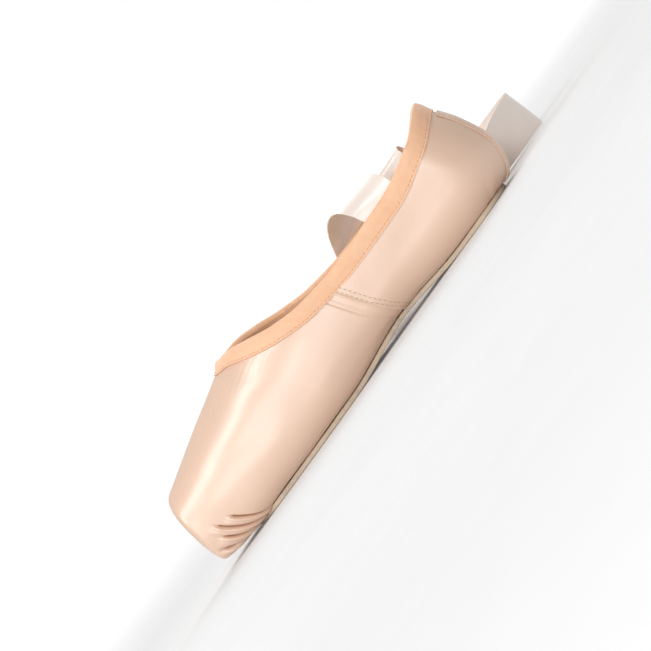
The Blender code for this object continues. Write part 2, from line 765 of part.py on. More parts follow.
def main():
    clear_scene()
    parts = bpy.data.collections.new("pointe_shoe")
    bpy.context.scene.collection.children.link(parts)
    ends = meridian_ends()
    shoe = [
        make_upper(ends, parts),
        make_outsole(parts),
        make_insole(parts),
        make_binding(ends, parts),
        make_heel_strip(parts),
    ]
    ribbons = [
        make_ribbon("ribbon_left", RIBBON_LEFT, parts),
        make_ribbon("ribbon_right", RIBBON_RIGHT, parts),
    ]
    places = [vertex.co.y for piece in shoe for vertex in piece.data.vertices]
    for piece in shoe + ribbons:
        piece.location.y = -(min(places) + max(places)) / 2


main()
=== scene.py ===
import math
from collections import namedtuple
from functools import cache

import bmesh
import bpy
import numpy as np
from bpy.props import FloatProperty, FloatVectorProperty, PointerProperty
from mathutils import Matrix, Quaternion, Vector


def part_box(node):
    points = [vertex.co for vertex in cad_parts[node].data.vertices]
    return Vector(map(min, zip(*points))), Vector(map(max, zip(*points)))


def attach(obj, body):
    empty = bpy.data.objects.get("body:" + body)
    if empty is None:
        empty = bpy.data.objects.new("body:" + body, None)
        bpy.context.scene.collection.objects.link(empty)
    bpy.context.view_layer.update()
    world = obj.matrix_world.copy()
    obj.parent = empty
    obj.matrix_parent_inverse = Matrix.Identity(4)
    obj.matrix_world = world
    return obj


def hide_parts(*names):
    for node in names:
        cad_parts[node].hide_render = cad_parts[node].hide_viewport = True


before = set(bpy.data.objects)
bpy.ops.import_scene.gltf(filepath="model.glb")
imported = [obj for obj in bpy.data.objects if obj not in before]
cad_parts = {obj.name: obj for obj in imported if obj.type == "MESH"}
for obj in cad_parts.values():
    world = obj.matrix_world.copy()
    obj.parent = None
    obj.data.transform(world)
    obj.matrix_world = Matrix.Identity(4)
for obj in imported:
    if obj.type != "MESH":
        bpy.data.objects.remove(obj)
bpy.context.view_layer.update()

bl_info = {
    "name": "Pointe shoe",
    "version": (1, 0, 0),
    "blender": (4, 5, 0),
    "location": "3D View > Sidebar > Pointe shoe",
    "description": "Satin, lining, leather, stitches and ribbons over a pointe shoe's frame",
    "category": "Add Mesh",
}

MM = 0.001
TINY = 1e-9

# The last's sizes, as in the part's source
LENGTH = 232 * MM
BALL_WIDTH = 68 * MM
WAIST_WIDTH = 53 * MM
HEEL_WIDTH = 53 * MM
INSTEP_HEIGHT = 60 * MM
WAIST_COLLAR_HEIGHT = 42 * MM
HEEL_HEIGHT = 55 * MM
PLATFORM_WIDTH = 42 * MM
PLATFORM_TOP = 42 * MM
PLATFORM_LIFT = 5.5 * MM
PLATFORM_LEAN = 0.13
PLATFORM_EDGE = 6 * MM
HEEL_TUCK = 9 * MM
HEEL_LEAN = 8 * MM
ARCH_RISE = 3.2 * MM

# The pieces' sizes, as in the part's source
WALL = 1.8 * MM
GAP = 0.3 * MM
OUTSOLE_THICKNESS = 2.5 * MM
OUTSOLE_WIDTH = 50 * MM
OUTSOLE_WAIST = 28 * MM
OUTSOLE_HEEL = 37 * MM
TIP_SETBACK = 24 * MM
HEEL_SETBACK = 14 * MM
CHANNEL_INSET = 2.2 * MM
CHANNEL_WIDTH = 1.0 * MM
CHANNEL_DEPTH = 0.6 * MM
INSOLE_THICKNESS = 2.0 * MM
INSOLE_INSET = 1.0 * MM
LASTING_MARGIN = 6 * MM
FLAT_INSET = 1.5 * MM
BINDING_WIDTH = 8 * MM
BINDING_THICKNESS = 0.7 * MM
HEEL_STRIP_WIDTH = 13 * MM
HEEL_STRIP_THICKNESS = 0.7 * MM
HEEL_STRIP_CLEARANCE = 1.5 * MM
SEAM_STEP = 0.7 * MM
SEAM_BAND = 8 * MM
SEAM_EDGE = 1.0 * MM
RIBBON_WIDTH = 22 * MM
RIBBON_THICKNESS = 0.5 * MM
LAST_FLOOR = OUTSOLE_THICKNESS + GAP
INSOLE_LIFT = WALL + GAP

SEAM_AT_COLLAR = 0.575
SEAM_AT_SIDE = 0.605
SEAM_AT_SOLE = 0.635
TOE_KNOT = 0.12
BALL_KNOT = 0.45
HEEL_KNOT = 0.87
THROAT = 0.33
COLLAR_TOE_REACH = 0.018 * LENGTH
SOLE_TOE_REACH = 0.065 * LENGTH
PLATFORM_ROUNDNESS = 2.4
HEEL_ROUNDNESS = 2.0
UNDER_ROUNDNESS = 2.2
CURVE_STEPS = 400
RAY_HALVINGS = 36

# The part's last lies with its outsole's middle where the frame has it
outsole_low, outsole_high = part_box("outsole")
LAST_SHIFT = (outsole_low.y + outsole_high.y) / 2 - (TIP_SETBACK + LENGTH - HEEL_SETBACK) / 2

# A row for each section of the last, from the platform to the back of the heel
Section = namedtuple("Section", "station width crown widest roundness")
SECTIONS = [
    Section(0.00 * LENGTH, 1.00 * PLATFORM_WIDTH, 1.00 * PLATFORM_TOP, 0.56 * PLATFORM_TOP, 2.3),
    Section(0.03 * LENGTH, 1.04 * PLATFORM_WIDTH, 1.04 * PLATFORM_TOP, 0.54 * PLATFORM_TOP, 2.3),
    Section(0.11 * LENGTH, 0.78 * BALL_WIDTH, 0.81 * INSTEP_HEIGHT, 0.35 * INSTEP_HEIGHT, 2.3),
    Section(0.22 * LENGTH, 0.93 * BALL_WIDTH, 0.91 * INSTEP_HEIGHT, 0.32 * INSTEP_HEIGHT, 2.3),
    Section(0.33 * LENGTH, 1.00 * BALL_WIDTH, 1.00 * INSTEP_HEIGHT, 0.31 * INSTEP_HEIGHT, 2.4),
    Section(0.42 * LENGTH, 0.99 * BALL_WIDTH, 1.05 * INSTEP_HEIGHT, 0.31 * INSTEP_HEIGHT, 2.4),
    Section(0.62 * LENGTH, 1.02 * WAIST_WIDTH, 1.17 * INSTEP_HEIGHT, 0.35 * INSTEP_HEIGHT, 2.6),
    Section(0.76 * LENGTH, 0.98 * WAIST_WIDTH, 1.23 * INSTEP_HEIGHT, 0.35 * INSTEP_HEIGHT, 2.8),
    Section(0.88 * LENGTH, 1.00 * HEEL_WIDTH, 1.26 * INSTEP_HEIGHT, 0.35 * INSTEP_HEIGHT, 2.8),
    Section(1.00 * LENGTH, 1.00 * HEEL_WIDTH, 1.28 * INSTEP_HEIGHT, 0.35 * INSTEP_HEIGHT, 2.8),
]

# The underside of the last along its length: a lifted toe, two flats and the arch between them
Keel = namedtuple("Keel", "station height")
KEEL = [
    Keel(0.00 * LENGTH, PLATFORM_LIFT),
    Keel(0.10 * LENGTH, LAST_FLOOR + 0.15 * (PLATFORM_LIFT - LAST_FLOOR)),
    Keel(0.17 * LENGTH, LAST_FLOOR),
    Keel(0.44 * LENGTH, LAST_FLOOR),
    Keel(0.62 * LENGTH, LAST_FLOOR + ARCH_RISE),
    Keel(0.80 * LENGTH, LAST_FLOOR),
    Keel(1.00 * LENGTH, LAST_FLOOR),
]

# The collar's edge seen from the side, after the throat, where it leaves the crown
Collar = namedtuple("Collar", "station height")
COLLAR = [
    Collar(0.36 * LENGTH, 0.985 * INSTEP_HEIGHT),
    Collar(0.40 * LENGTH, 0.93 * INSTEP_HEIGHT),
    Collar(0.46 * LENGTH, 0.83 * INSTEP_HEIGHT),
    Collar(0.53 * LENGTH, 1.07 * WAIST_COLLAR_HEIGHT),
    Collar(0.64 * LENGTH, 1.00 * WAIST_COLLAR_HEIGHT),
    Collar(0.79 * LENGTH, 1.01 * WAIST_COLLAR_HEIGHT),
    Collar(0.91 * LENGTH, 0.87 * HEEL_HEIGHT),
]

# The back of the heel: how far it lies inside the full length, by height
Back = namedtuple("Back", "height inset")
HEEL_BACK = [
    Back(0.04 * HEEL_HEIGHT, 1.00 * HEEL_TUCK),
    Back(0.14 * HEEL_HEIGHT, 0.45 * HEEL_TUCK),
    Back(0.36 * HEEL_HEIGHT, 0.00 * HEEL_TUCK),
    Back(0.62 * HEEL_HEIGHT, 0.22 * HEEL_LEAN),
    Back(0.84 * HEEL_HEIGHT, 0.68 * HEEL_LEAN),
    Back(1.00 * HEEL_HEIGHT, 1.00 * HEEL_LEAN),
    Back(1.40 * HEEL_HEIGHT, 1.30 * HEEL_LEAN),
]

# The outsole's width along the last, before its tip and heel end are rounded
Tread = namedtuple("Tread", "station width")
OUTSOLE = [
    Tread(0.00 * LENGTH, 0.62 * OUTSOLE_WIDTH),
    Tread(0.10 * LENGTH, 0.72 * OUTSOLE_WIDTH),
    Tread(0.22 * LENGTH, 0.90 * OUTSOLE_WIDTH),
    Tread(0.36 * LENGTH, 1.00 * OUTSOLE_WIDTH),
    Tread(0.48 * LENGTH, 0.86 * OUTSOLE_WIDTH),
    Tread(0.63 * LENGTH, 1.00 * OUTSOLE_WAIST),
    Tread(0.76 * LENGTH, 0.88 * OUTSOLE_HEEL),
    Tread(0.88 * LENGTH, 1.00 * OUTSOLE_HEEL),
    Tread(1.00 * LENGTH, 1.00 * OUTSOLE_HEEL),
]
TIP_RADIUS = 0.40 * OUTSOLE_WIDTH
HEEL_END_RADIUS = 0.47 * OUTSOLE_HEEL

# How much of the vamp before the side seam is drawn finely, for its tuck
TUCK_BAND = 7 * MM

# How finely the upper is divided: columns round one half, and rows below and above its widest line
TOE_COLUMNS = 160
TOE_STEPS = 12
COLUMN_COUNTS = [TOE_COLUMNS, 44, 22, 16, 8, 14, 30, 30]
ROWS_BELOW = 44
ROWS_ABOVE = 48
LINING_ROW_STEP = 2


class SmoothCurve:
    """A monotone cubic through given points, straight between two equal neighbours."""

    def __init__(self, inputs, outputs):
        self.inputs = np.array(inputs)
        self.outputs = np.array(outputs)
        grades = np.diff(self.outputs) / np.diff(self.inputs)
        product = grades[:-1] * grades[1:]
        total = grades[:-1] + grades[1:]
        inner = np.where(product > 0, 2 * product / np.where(product > 0, total, 1), 0)
        self.slopes = np.concatenate([grades[:1], inner, grades[-1:]])

    def __call__(self, value):
        value = np.clip(value, self.inputs[0], self.inputs[-1])
        k = np.clip(np.searchsorted(self.inputs, value, side="right") - 1, 0, len(self.inputs) - 2)
        step = self.inputs[k + 1] - self.inputs[k]
        t = (value - self.inputs[k]) / step
        start = self.outputs[k] * (1 + 2 * t) * (1 - t) ** 2
        start += self.slopes[k] * step * t * (1 - t) ** 2
        end = self.outputs[k + 1] * t * t * (3 - 2 * t)
        end -= self.slopes[k + 1] * step * t * t * (1 - t)
        return start + end


def column(table, across, up):
    return SmoothCurve([getattr(row, across) for row in table], [getattr(row, up) for row in table])


width_at = column(SECTIONS, "station", "width")
crown_at = column(SECTIONS, "station", "crown")
widest_at = column(SECTIONS, "station", "widest")
roundness_at = column(SECTIONS, "station", "roundness")
keel_at = column(KEEL, "station", "height")
heel_inset_at = column(HEEL_BACK, "height", "inset")
outsole_width_at = column(OUTSOLE, "station", "width")


def points_of(x, y, z):
    """Points as rows of three numbers, from three arrays or numbers."""
    return np.stack(np.broadcast_arrays(x, y, z), axis=-1).astype(float)


def unit(vectors):
    return vectors / np.maximum(np.linalg.norm(vectors, axis=-1, keepdims=True), TINY)


def soft_step(value, low, high):
    share = np.clip((value - low) / (high - low), 0, 1)
    return share * share * (3 - 2 * share)


def bell(value, middle, width):
    return np.exp(-(((value - middle) / width) ** 2))


def relief_of(waves, value):
    """The height of rounded waves side by side, each with its own height, middle and width."""
    return sum(wave.height * bell(value, wave.middle, wave.width) for wave in waves)


def toe_line(z):
    return PLATFORM_LEAN * (z - PLATFORM_LIFT)


def heel_line(z):
    return LENGTH - heel_inset_at(z)


def rounding(share, power):
    """How full a rounded end is, from 0 at its tip to 1 where it has its whole width."""
    inside = np.clip(share, 0, 1)
    return np.maximum(1 - (1 - inside) ** power, 0) ** (1 / power)


def section_at(y, z):
    """The section through a point: station, half width, flat half width, heights and roundness."""
    front = toe_line(z)
    back = heel_line(z)
    station = LENGTH * (y - front) / (back - front)
    nose = rounding(station / PLATFORM_EDGE, PLATFORM_ROUNDNESS)
    heel = rounding((LENGTH - station) / (HEEL_WIDTH / 2), HEEL_ROUNDNESS)
    half = width_at(station) / 2 * nose * heel
    flat = (outsole_width_at(station) / 2 - FLAT_INSET) * nose * heel
    middle = widest_at(station)
    up = (crown_at(station) - middle) * nose
    down = (middle - keel_at(y)) * nose
    return station, half, flat, middle, up, down, roundness_at(station)


def fullness(points):
    """Below 1 inside the last, 1 on its surface and above 1 outside."""
    x, y, z = np.moveaxis(points, -1, 0)
    station, half, flat, middle, up, down, roundness = section_at(y, z)
    over = (np.abs(x) / np.maximum(half, TINY)) ** roundness
    over += (np.maximum(z - middle, 0) / np.maximum(up, TINY)) ** roundness
    beyond = np.maximum(np.abs(x) - flat, 0) / np.maximum(half - flat, TINY)
    under = beyond**UNDER_ROUNDNESS
    under += (np.maximum(middle - z, 0) / np.maximum(down, TINY)) ** UNDER_ROUNDNESS
    outside = (station <= 0) | (station >= LENGTH)
    return np.where(outside, 2.0, np.where(z >= middle, over, under))


def on_last(origins, directions):
    """Where rays that start inside the last leave it."""
    near = np.zeros(np.broadcast_shapes(origins.shape, directions.shape)[:-1] + (1,))
    far = np.full(near.shape, LENGTH)
    for _ in range(RAY_HALVINGS):
        reach = (near + far) / 2
        inside = (fullness(origins + directions * reach) < 1)[..., None]
        near = np.where(inside, reach, near)
        far = np.where(inside, far, reach)
    return origins + directions * near


def side_of_last(y, z):
    """The half width of the last at a place along it, at a height above its widest line."""
    _, half, _, middle, up, _, roundness = section_at(y, z)
    share = np.clip((z - middle) / np.maximum(up, TINY), 0, 1)
    return half * (1 - share**roundness) ** (1 / roundness)


COLLAR_START = THROAT * LENGTH
COLLAR_END = float(heel_line(HEEL_HEIGHT))
throat_axis = np.array([0.0, COLLAR_START, float(widest_at(COLLAR_START))])
throat = on_last(throat_axis, np.array([0.0, 0.0, 1.0]))
collar_rows = [Collar(COLLAR_START, throat[2])] + COLLAR + [Collar(COLLAR_END, HEEL_HEIGHT)]
collar_at = column(collar_rows, "station", "height")


def eased(count):
    """Shares from 0 to 1, closer together at both ends."""
    return (1 - np.cos(np.pi * np.arange(count + 1) / count)) / 2


def collar_curve():
    y = COLLAR_START + eased(CURVE_STEPS) * (COLLAR_END - COLLAR_START)
    z = collar_at(y)
    x = side_of_last(y, z)
    x[0] = 0.0
    x[-1] = 0.0
    return points_of(x, y, z)


def widest_curve():
    share = eased(CURVE_STEPS)
    z = widest_at(share * LENGTH)
    y = toe_line(z) + share * (heel_line(z) - toe_line(z))
    return points_of(side_of_last(y, z), y, z)


def whole_round(half):
    """A near half from toe to heel, followed by its mirror image back to the toe."""
    return np.concatenate([half, (half * [-1, 1, 1])[-2:0:-1]])


def sole_half_width(y, inset):
    """Half the width of the outsole's outline, drawn in by an inset."""
    tip = (y - TIP_SETBACK - inset) / (TIP_RADIUS - inset)
    end = (LENGTH - HEEL_SETBACK - inset - y) / (HEEL_END_RADIUS - inset)
    ends = rounding(tip, HEEL_ROUNDNESS) * rounding(end, HEEL_ROUNDNESS)
    return (outsole_width_at(y) / 2 - inset) * ends


def sole_curve(inset, lift=0.0):
    start = TIP_SETBACK + inset
    y = start + eased(CURVE_STEPS) * (LENGTH - HEEL_SETBACK - inset - start)
    return points_of(sole_half_width(y, inset), y, keel_at(y) + lift)


def spread(points, cuts, counts):
    """Points evenly along each stretch of a curve, which is cut where it passes each station."""
    runs = runs_along(points[None])[0]
    marks = np.concatenate([[0.0], np.interp(cuts, points[:, 1], runs), runs[-1:]])
    knots = np.concatenate([[0], np.cumsum(counts)])
    wanted = np.interp(np.arange(knots[-1] + 1), knots, marks)
    return np.stack([np.interp(wanted, runs, points[:, axis]) for axis in range(3)], axis=1)


def meridian_points(curve, toe, seam):
    """Where the meridians cross a curve: closest together round the toe and at the side seam."""
    seam = seam * LENGTH
    cuts = [toe, BALL_KNOT * LENGTH, seam - TUCK_BAND, seam, seam + SEAM_EDGE, seam + SEAM_BAND]
    return spread(curve, cuts + [HEEL_KNOT * LENGTH], COLUMN_COUNTS)


def meridian_ends():
    """The feather, widest and collar points of each meridian of the near half."""
    sole_toe = TIP_SETBACK + LASTING_MARGIN + SOLE_TOE_REACH
    feather = meridian_points(sole_curve(LASTING_MARGIN), sole_toe, SEAM_AT_SOLE)
    widest = meridian_points(widest_curve(), TOE_KNOT * LENGTH, SEAM_AT_SIDE)
    collar = meridian_points(collar_curve(), COLLAR_START + COLLAR_TOE_REACH, SEAM_AT_COLLAR)
    return feather, widest, collar


HEEL_CENTRE = LENGTH - HEEL_WIDTH / 2


def turned(start, end, share):
    """Directions between two unit directions, by a share of the angle between them."""
    angle = np.arccos(np.clip((start * end).sum(-1, keepdims=True), -1, 1))
    return (np.sin((1 - share) * angle) * start + np.sin(share * angle) * end) / np.sin(angle)


def square_to(vectors, ways):
    """Unit directions: what is left of the vectors at right angles to the ways."""
    return unit(vectors - ways * (vectors * ways).sum(-1, keepdims=True))


def between_rows(rows, place):
    """The values part of the way from one row to the next."""
    low = int(min(place, len(rows) - 2))
    return rows[low] * (1 - place + low) + rows[low + 1] * (place - low)


def runs_along(points):
    """The distance along each row of points from its first one."""
    steps = np.linalg.norm(np.diff(points, axis=1), axis=2)
    return np.concatenate([np.zeros((len(points), 1)), np.cumsum(steps, axis=1)], axis=1)


def normals_of(points, closed_round):
    """Outward directions, from the differences between neighbouring points."""
    if closed_round:
        along = np.roll(points, -1, axis=0) - np.roll(points, 1, axis=0)
    else:
        along = np.gradient(points, axis=0)
    return unit(np.cross(along, np.gradient(points, axis=1)))


class LastGrid:
    """The last's surface round the whole shoe, as columns from the sole's edge to the collar.

    The first half of the columns runs from the middle of the toe to the middle of the heel on the
    near side, and the rest comes back on the far side. Shares are 0 at the margin under the
    sole, 1 at the widest line and 2 at the collar.
    """

    def __init__(self):
        feather, widest, collar = meridian_ends()
        middle = np.minimum((feather[:, 1] + widest[:, 1] + collar[:, 1]) / 3, HEEL_CENTRE)
        axis = points_of(0.0, middle, widest_at(middle))
        level = unit(points_of(widest[:, 0], widest[:, 1] - middle, 0.0))[:, None]
        low = unit(feather - axis)[:, None]
        high = unit(collar - axis)[:, None]
        below = (np.arange(ROWS_BELOW) / ROWS_BELOW)[None, :, None]
        above = (np.arange(ROWS_ABOVE + 1) / ROWS_ABOVE)[None, :, None]
        ways = np.concatenate([turned(low, level, below), turned(level, high, above)], axis=1)
        half = on_last(axis[:, None], ways)
        half[:, 0] = feather
        half[:, -1] = collar
        self.shares = np.concatenate([below.ravel(), 1 + above.ravel()])
        count = len(half)
        steps = np.arange(count)
        self.column = np.concatenate([steps, steps[-2:0:-1]])
        self.side = np.concatenate([np.ones(count), -np.ones(count - 2)])
        self.points = whole_round(half)
        self.normals = normals_of(self.points, closed_round=True)
        self.half = count
        ball_to_heel = np.cumsum(COLUMN_COUNTS)[1:-1]
        to_ball = (BALL_KNOT - SEAM_AT_SIDE) * LENGTH
        to_heel = (HEEL_KNOT - SEAM_AT_SIDE) * LENGTH
        marks = [to_ball, -TUCK_BAND, 0.0, SEAM_EDGE, SEAM_BAND, to_heel]
        self.behind_seam = np.interp(self.column, ball_to_heel, marks)
        self.meridian = self.column * TOE_STEPS / TOE_COLUMNS

    def down_from_collar(self, values, distances):
        """Values of the grid at distances down each column from the collar."""
        depth = runs_along(self.points)
        depth = depth[:, -1:] - depth
        found = np.empty((len(values), len(distances), 3))
        for k, column_depth in enumerate(depth):
            for axis in range(3):
                found[k, :, axis] = np.interp(distances, column_depth[::-1], values[k, ::-1, axis])
        return found

    def place(self, side, station, share):
        """A point of the surface on one side, at a station of the widest line and a share."""
        stations = self.points[: self.half, ROWS_BELOW, 1]
        k = np.interp(station, stations, np.arange(self.half))
        row = np.interp(share, self.shares, np.arange(len(self.shares)))
        return between_rows(between_rows(self.points, k), row) * [side, 1, 1]


@cache
def last_grid():
    return LastGrid()


# The creases. Side 1 is the near side, and a share runs from the sole's margin at 0
# over the widest line at 1 to the collar at 2
Crease = namedtuple("Crease", "side from_station from_share to_station to_share depth width")
CREASE_SAMPLES = 28
CREASES = [
    # The soft dent below the throat, on the near side and over the middle
    Crease(1, 0.20 * LENGTH, 1.86, 0.34 * LENGTH, 1.60, 0.55 * MM, 5.0 * MM),
    Crease(-1, 0.22 * LENGTH, 1.84, 0.33 * LENGTH, 1.66, 0.45 * MM, 5.0 * MM),
    # The shallow trough and ridge that run down the box
    Crease(1, 0.10 * LENGTH, 1.35, 0.30 * LENGTH, 1.22, 0.30 * MM, 4.5 * MM),
    Crease(1, 0.08 * LENGTH, 1.10, 0.32 * LENGTH, 1.02, -0.25 * MM, 4.0 * MM),
    Crease(-1, 0.10 * LENGTH, 1.30, 0.28 * LENGTH, 1.20, 0.30 * MM, 5.0 * MM),
    # Pulls from the seam's foot towards the ball
    Crease(1, 0.47 * LENGTH, 0.55, 0.59 * LENGTH, 0.38, 0.30 * MM, 2.2 * MM),
    Crease(1, 0.45 * LENGTH, 0.80, 0.57 * LENGTH, 0.66, 0.22 * MM, 3.0 * MM),
    Crease(-1, 0.46 * LENGTH, 0.60, 0.58 * LENGTH, 0.42, 0.32 * MM, 2.4 * MM),
    # The quarter's broad hollow behind the seam and its pull towards the heel
    Crease(1, 0.68 * LENGTH, 0.90, 0.84 * LENGTH, 1.50, 0.50 * MM, 8.0 * MM),
    Crease(-1, 0.70 * LENGTH, 0.90, 0.83 * LENGTH, 1.55, 0.55 * MM, 8.0 * MM),
    Crease(1, 0.90 * LENGTH, 1.45, 0.95 * LENGTH, 0.95, -0.30 * MM, 5.0 * MM),
    # Gathers where the heel turns under the outsole's end
    Crease(1, 0.93 * LENGTH, 0.16, 0.945 * LENGTH, 0.62, 0.55 * MM, 1.1 * MM),
    Crease(1, 0.965 * LENGTH, 0.16, 0.972 * LENGTH, 0.55, 0.45 * MM, 1.0 * MM),
    Crease(-1, 0.925 * LENGTH, 0.16, 0.94 * LENGTH, 0.58, 0.50 * MM, 1.1 * MM),
    Crease(-1, 0.96 * LENGTH, 0.16, 0.97 * LENGTH, 0.60, 0.50 * MM, 1.0 * MM),
]

# The folds under the toe: where each one leaves the sole, how it leans, and how far up it runs
Pleat = namedtuple("Pleat", "side meridian lean start finish depth")
PLEATS = [
    Pleat(1, 11.1, -0.9, 0.14, 0.92, 0.90),
    Pleat(1, 9.1, -0.8, 0.12, 1.00, 1.00),
    Pleat(1, 7.0, -0.5, 0.16, 0.84, 1.00),
    Pleat(1, 5.1, -0.4, 0.14, 0.78, 0.90),
    Pleat(1, 3.0, -0.2, 0.14, 0.60, 0.70),
    Pleat(1, 1.0, 0.1, 0.12, 0.66, 0.80),
    Pleat(-1, 1.0, 0.1, 0.14, 0.60, 0.75),
    Pleat(-1, 3.1, -0.3, 0.12, 0.66, 0.70),
    Pleat(-1, 4.9, -0.3, 0.16, 0.60, 0.80),
    Pleat(-1, 7.1, -0.6, 0.14, 0.78, 0.75),
    Pleat(-1, 9.0, -0.7, 0.12, 0.90, 1.00),
    Pleat(-1, 10.9, -0.9, 0.14, 0.74, 0.80),
]


# Across a pleat, in meridians and as shares of its depth: the slit, its lip and the puff beyond
Wave = namedtuple("Wave", "height middle width")
PLEAT_WAVES = [Wave(-1.0, 0.0, 0.19), Wave(0.44, -0.46, 0.26), Wave(0.34, -1.05, 0.46)]
PLEAT_OPENING = 0.14
PLEAT_CLOSING = 0.16

# Behind the side seam, as shares of its step: the quarter's turned edge, which sinks back behind it,
# then the edge's roll, the vamp's tuck before it and the two sewn rows
SEAM_RISE = 0.35 * MM
SEAM_SINK = 0.75
SEAM_SINKS = (0.5 * SEAM_BAND, 1.6 * SEAM_BAND)
SEAM_ROWS = (2.1 * MM, 4.2 * MM)
SEAM_ROW_WIDTH = 0.3 * MM
SEAM_WAVES = [
    Wave(0.35, 0.7 * MM, 0.45 * MM),
    Wave(-0.50, -4.6 * MM, 0.45 * MM),
    Wave(0.25, -3.6 * MM, 0.6 * MM),
    *[Wave(-0.30, row, SEAM_ROW_WIDTH) for row in SEAM_ROWS],
]
SEAM_SHARES = (0.12, 0.30, 1.70, 1.85)

# The satin's slow unevenness, by turns in radians a millimetre, and its gathers under the binding
Ripple = namedtuple("Ripple", "x y z side start")
RIPPLES = [
    Ripple(0.0, 0.19, 0.11, 0.6, 0.0),
    Ripple(0.07, -0.13, 0.31, 0.0, 1.7),
    Ripple(0.23, 0.08, 0.0, 0.0, 0.5),
]
RIPPLE_DEPTH = 0.05 * MM
GATHER_DEPTH = 0.07 * MM
GATHER_TURN = 1.15
GATHER_SWAY = 0.9
GATHER_SWAY_TURN = 0.17
GATHER_SHARE = 1.80
GATHER_BAND = 0.10

# The relief dies out towards the margin under the sole, between these two shares
MARGIN_SHARES = (0.02, 0.14)

# Painted shade on the satin: how far it darkens deep in its folds, by shares of the pleats' depth, and low
# on its sides
FOLD_SHADE_GAIN = 2.2
FOLD_SHADE_FROM = 0.35
UNDER_SHADE_SHARES = (0.15, 0.75)


def crease_line(grid, crease):
    """Points along a crease's path over the surface."""
    shares = np.linspace(0, 1, CREASE_SAMPLES)
    stations = crease.from_station + shares * (crease.to_station - crease.from_station)
    heights = crease.from_share + shares * (crease.to_share - crease.from_share)
    return np.array([grid.place(crease.side, y, share) for y, share in zip(stations, heights)])


def crease_relief(grid):
    lift = np.zeros(grid.points.shape[:2])
    for crease in CREASES:
        line = crease_line(grid, crease)
        fade = np.sin(np.linspace(0, math.pi, len(line))) ** 0.5
        pull = np.zeros_like(lift)
        for point, strength in zip(line, fade):
            distance = np.linalg.norm(grid.points - point, axis=2)
            pull = np.maximum(pull, strength * bell(distance, 0, crease.width))
        lift -= crease.depth * pull
    return lift


def pleat_relief(grid, depth):
    """Sharp slits under the toe, each with a lip over it and a soft puff beside it."""
    lift = np.zeros(grid.points.shape[:2])
    share = grid.shares[None, :]
    for pleat in PLEATS:
        middle = pleat.meridian + pleat.lean * (share - pleat.start)
        relief = relief_of(PLEAT_WAVES, grid.meridian[:, None] - middle)
        opening = soft_step(share, pleat.start, pleat.start + PLEAT_OPENING)
        closing = 1 - soft_step(share, pleat.finish - PLEAT_CLOSING, pleat.finish)
        here = (grid.side[:, None] == pleat.side) | (grid.column[:, None] == 0)
        lift += np.where(here, depth * pleat.depth * relief * opening * closing, 0)
    return lift


def seam_relief(grid):
    """The quarter's turned edge over the vamp, and the vamp's tuck beside it."""
    behind = grid.behind_seam[:, None]
    share = grid.shares[None, :]
    edge = soft_step(behind, 0.0, SEAM_RISE) * (1 - SEAM_SINK * soft_step(behind, *SEAM_SINKS))
    above_margin = soft_step(share, *SEAM_SHARES[:2])
    below_binding = 1 - soft_step(share, *SEAM_SHARES[2:])
    return SEAM_STEP * (edge + relief_of(SEAM_WAVES, behind)) * above_margin * below_binding


def hang_relief(grid):
    """The small unevenness of satin that is stretched by hand, and its gathers below the binding."""
    x, y, z = np.moveaxis(grid.points / MM, -1, 0)
    wave = 0
    for ripple in RIPPLES:
        turn = ripple.x * x + ripple.y * y + ripple.z * z
        wave = wave + np.sin(turn + ripple.side * grid.side[:, None] + ripple.start)
    along = runs_along(np.swapaxes(grid.points, 0, 1)).T / MM
    gather = np.sin(GATHER_TURN * along + GATHER_SWAY * np.sin(GATHER_SWAY_TURN * along))
    near_binding = bell(grid.shares[None, :], GATHER_SHARE, GATHER_BAND)
    return RIPPLE_DEPTH * wave + GATHER_DEPTH * gather * near_binding


def upper_relief(grid, pleat_depth):
    lift = crease_relief(grid) + pleat_relief(grid, pleat_depth) + seam_relief(grid) + hang_relief(grid)
    return lift * soft_step(grid.shares[None, :], *MARGIN_SHARES)


class Patch:
    """A stretch of surface: rings of points, how they close, the finish it has and its values."""

    def __init__(self, rings, closed_round=False, closed_across=False, finish=0, **values):
        self.finish = finish
        self.points = rings.reshape(-1, 3)
        self.values = {name: value.ravel() for name, value in values.items()}
        count, across = rings.shape[:2]
        i = np.arange(count if closed_round else count - 1)[:, None]
        j = np.arange(across if closed_across else across - 1)[None, :]
        after = (i + 1) % count
        beside = (j + 1) % across
        corners = [i * across + j, after * across + j, after * across + beside, i * across + beside]
        self.quads = np.stack(corners, axis=-1).reshape(-1, 4)
        round_steps = np.linalg.norm(np.roll(rings, -1, axis=0) - rings, axis=2).max(axis=1)
        across_steps = np.linalg.norm(np.roll(rings, -1, axis=1) - rings, axis=2)
        u = np.concatenate([[0.0], np.cumsum(round_steps)])
        v = np.concatenate([np.zeros((count, 1)), np.cumsum(across_steps, axis=1)], axis=1)
        us = [u[i], u[i + 1], u[i + 1], u[i]]
        vs = [v[i, j], v[after, j], v[after, j + 1], v[i, j + 1]]
        pairs = [np.stack(np.broadcast_arrays(a, b), axis=-1) for a, b in zip(us, vs)]
        self.uvs = np.stack(pairs, axis=2).reshape(-1, 2)


def placed(name, data):
    """A new object in the scene, for a mesh, a lamp or a camera."""
    holder = bpy.data.objects.new(name, data)
    bpy.context.scene.collection.objects.link(holder)
    return holder


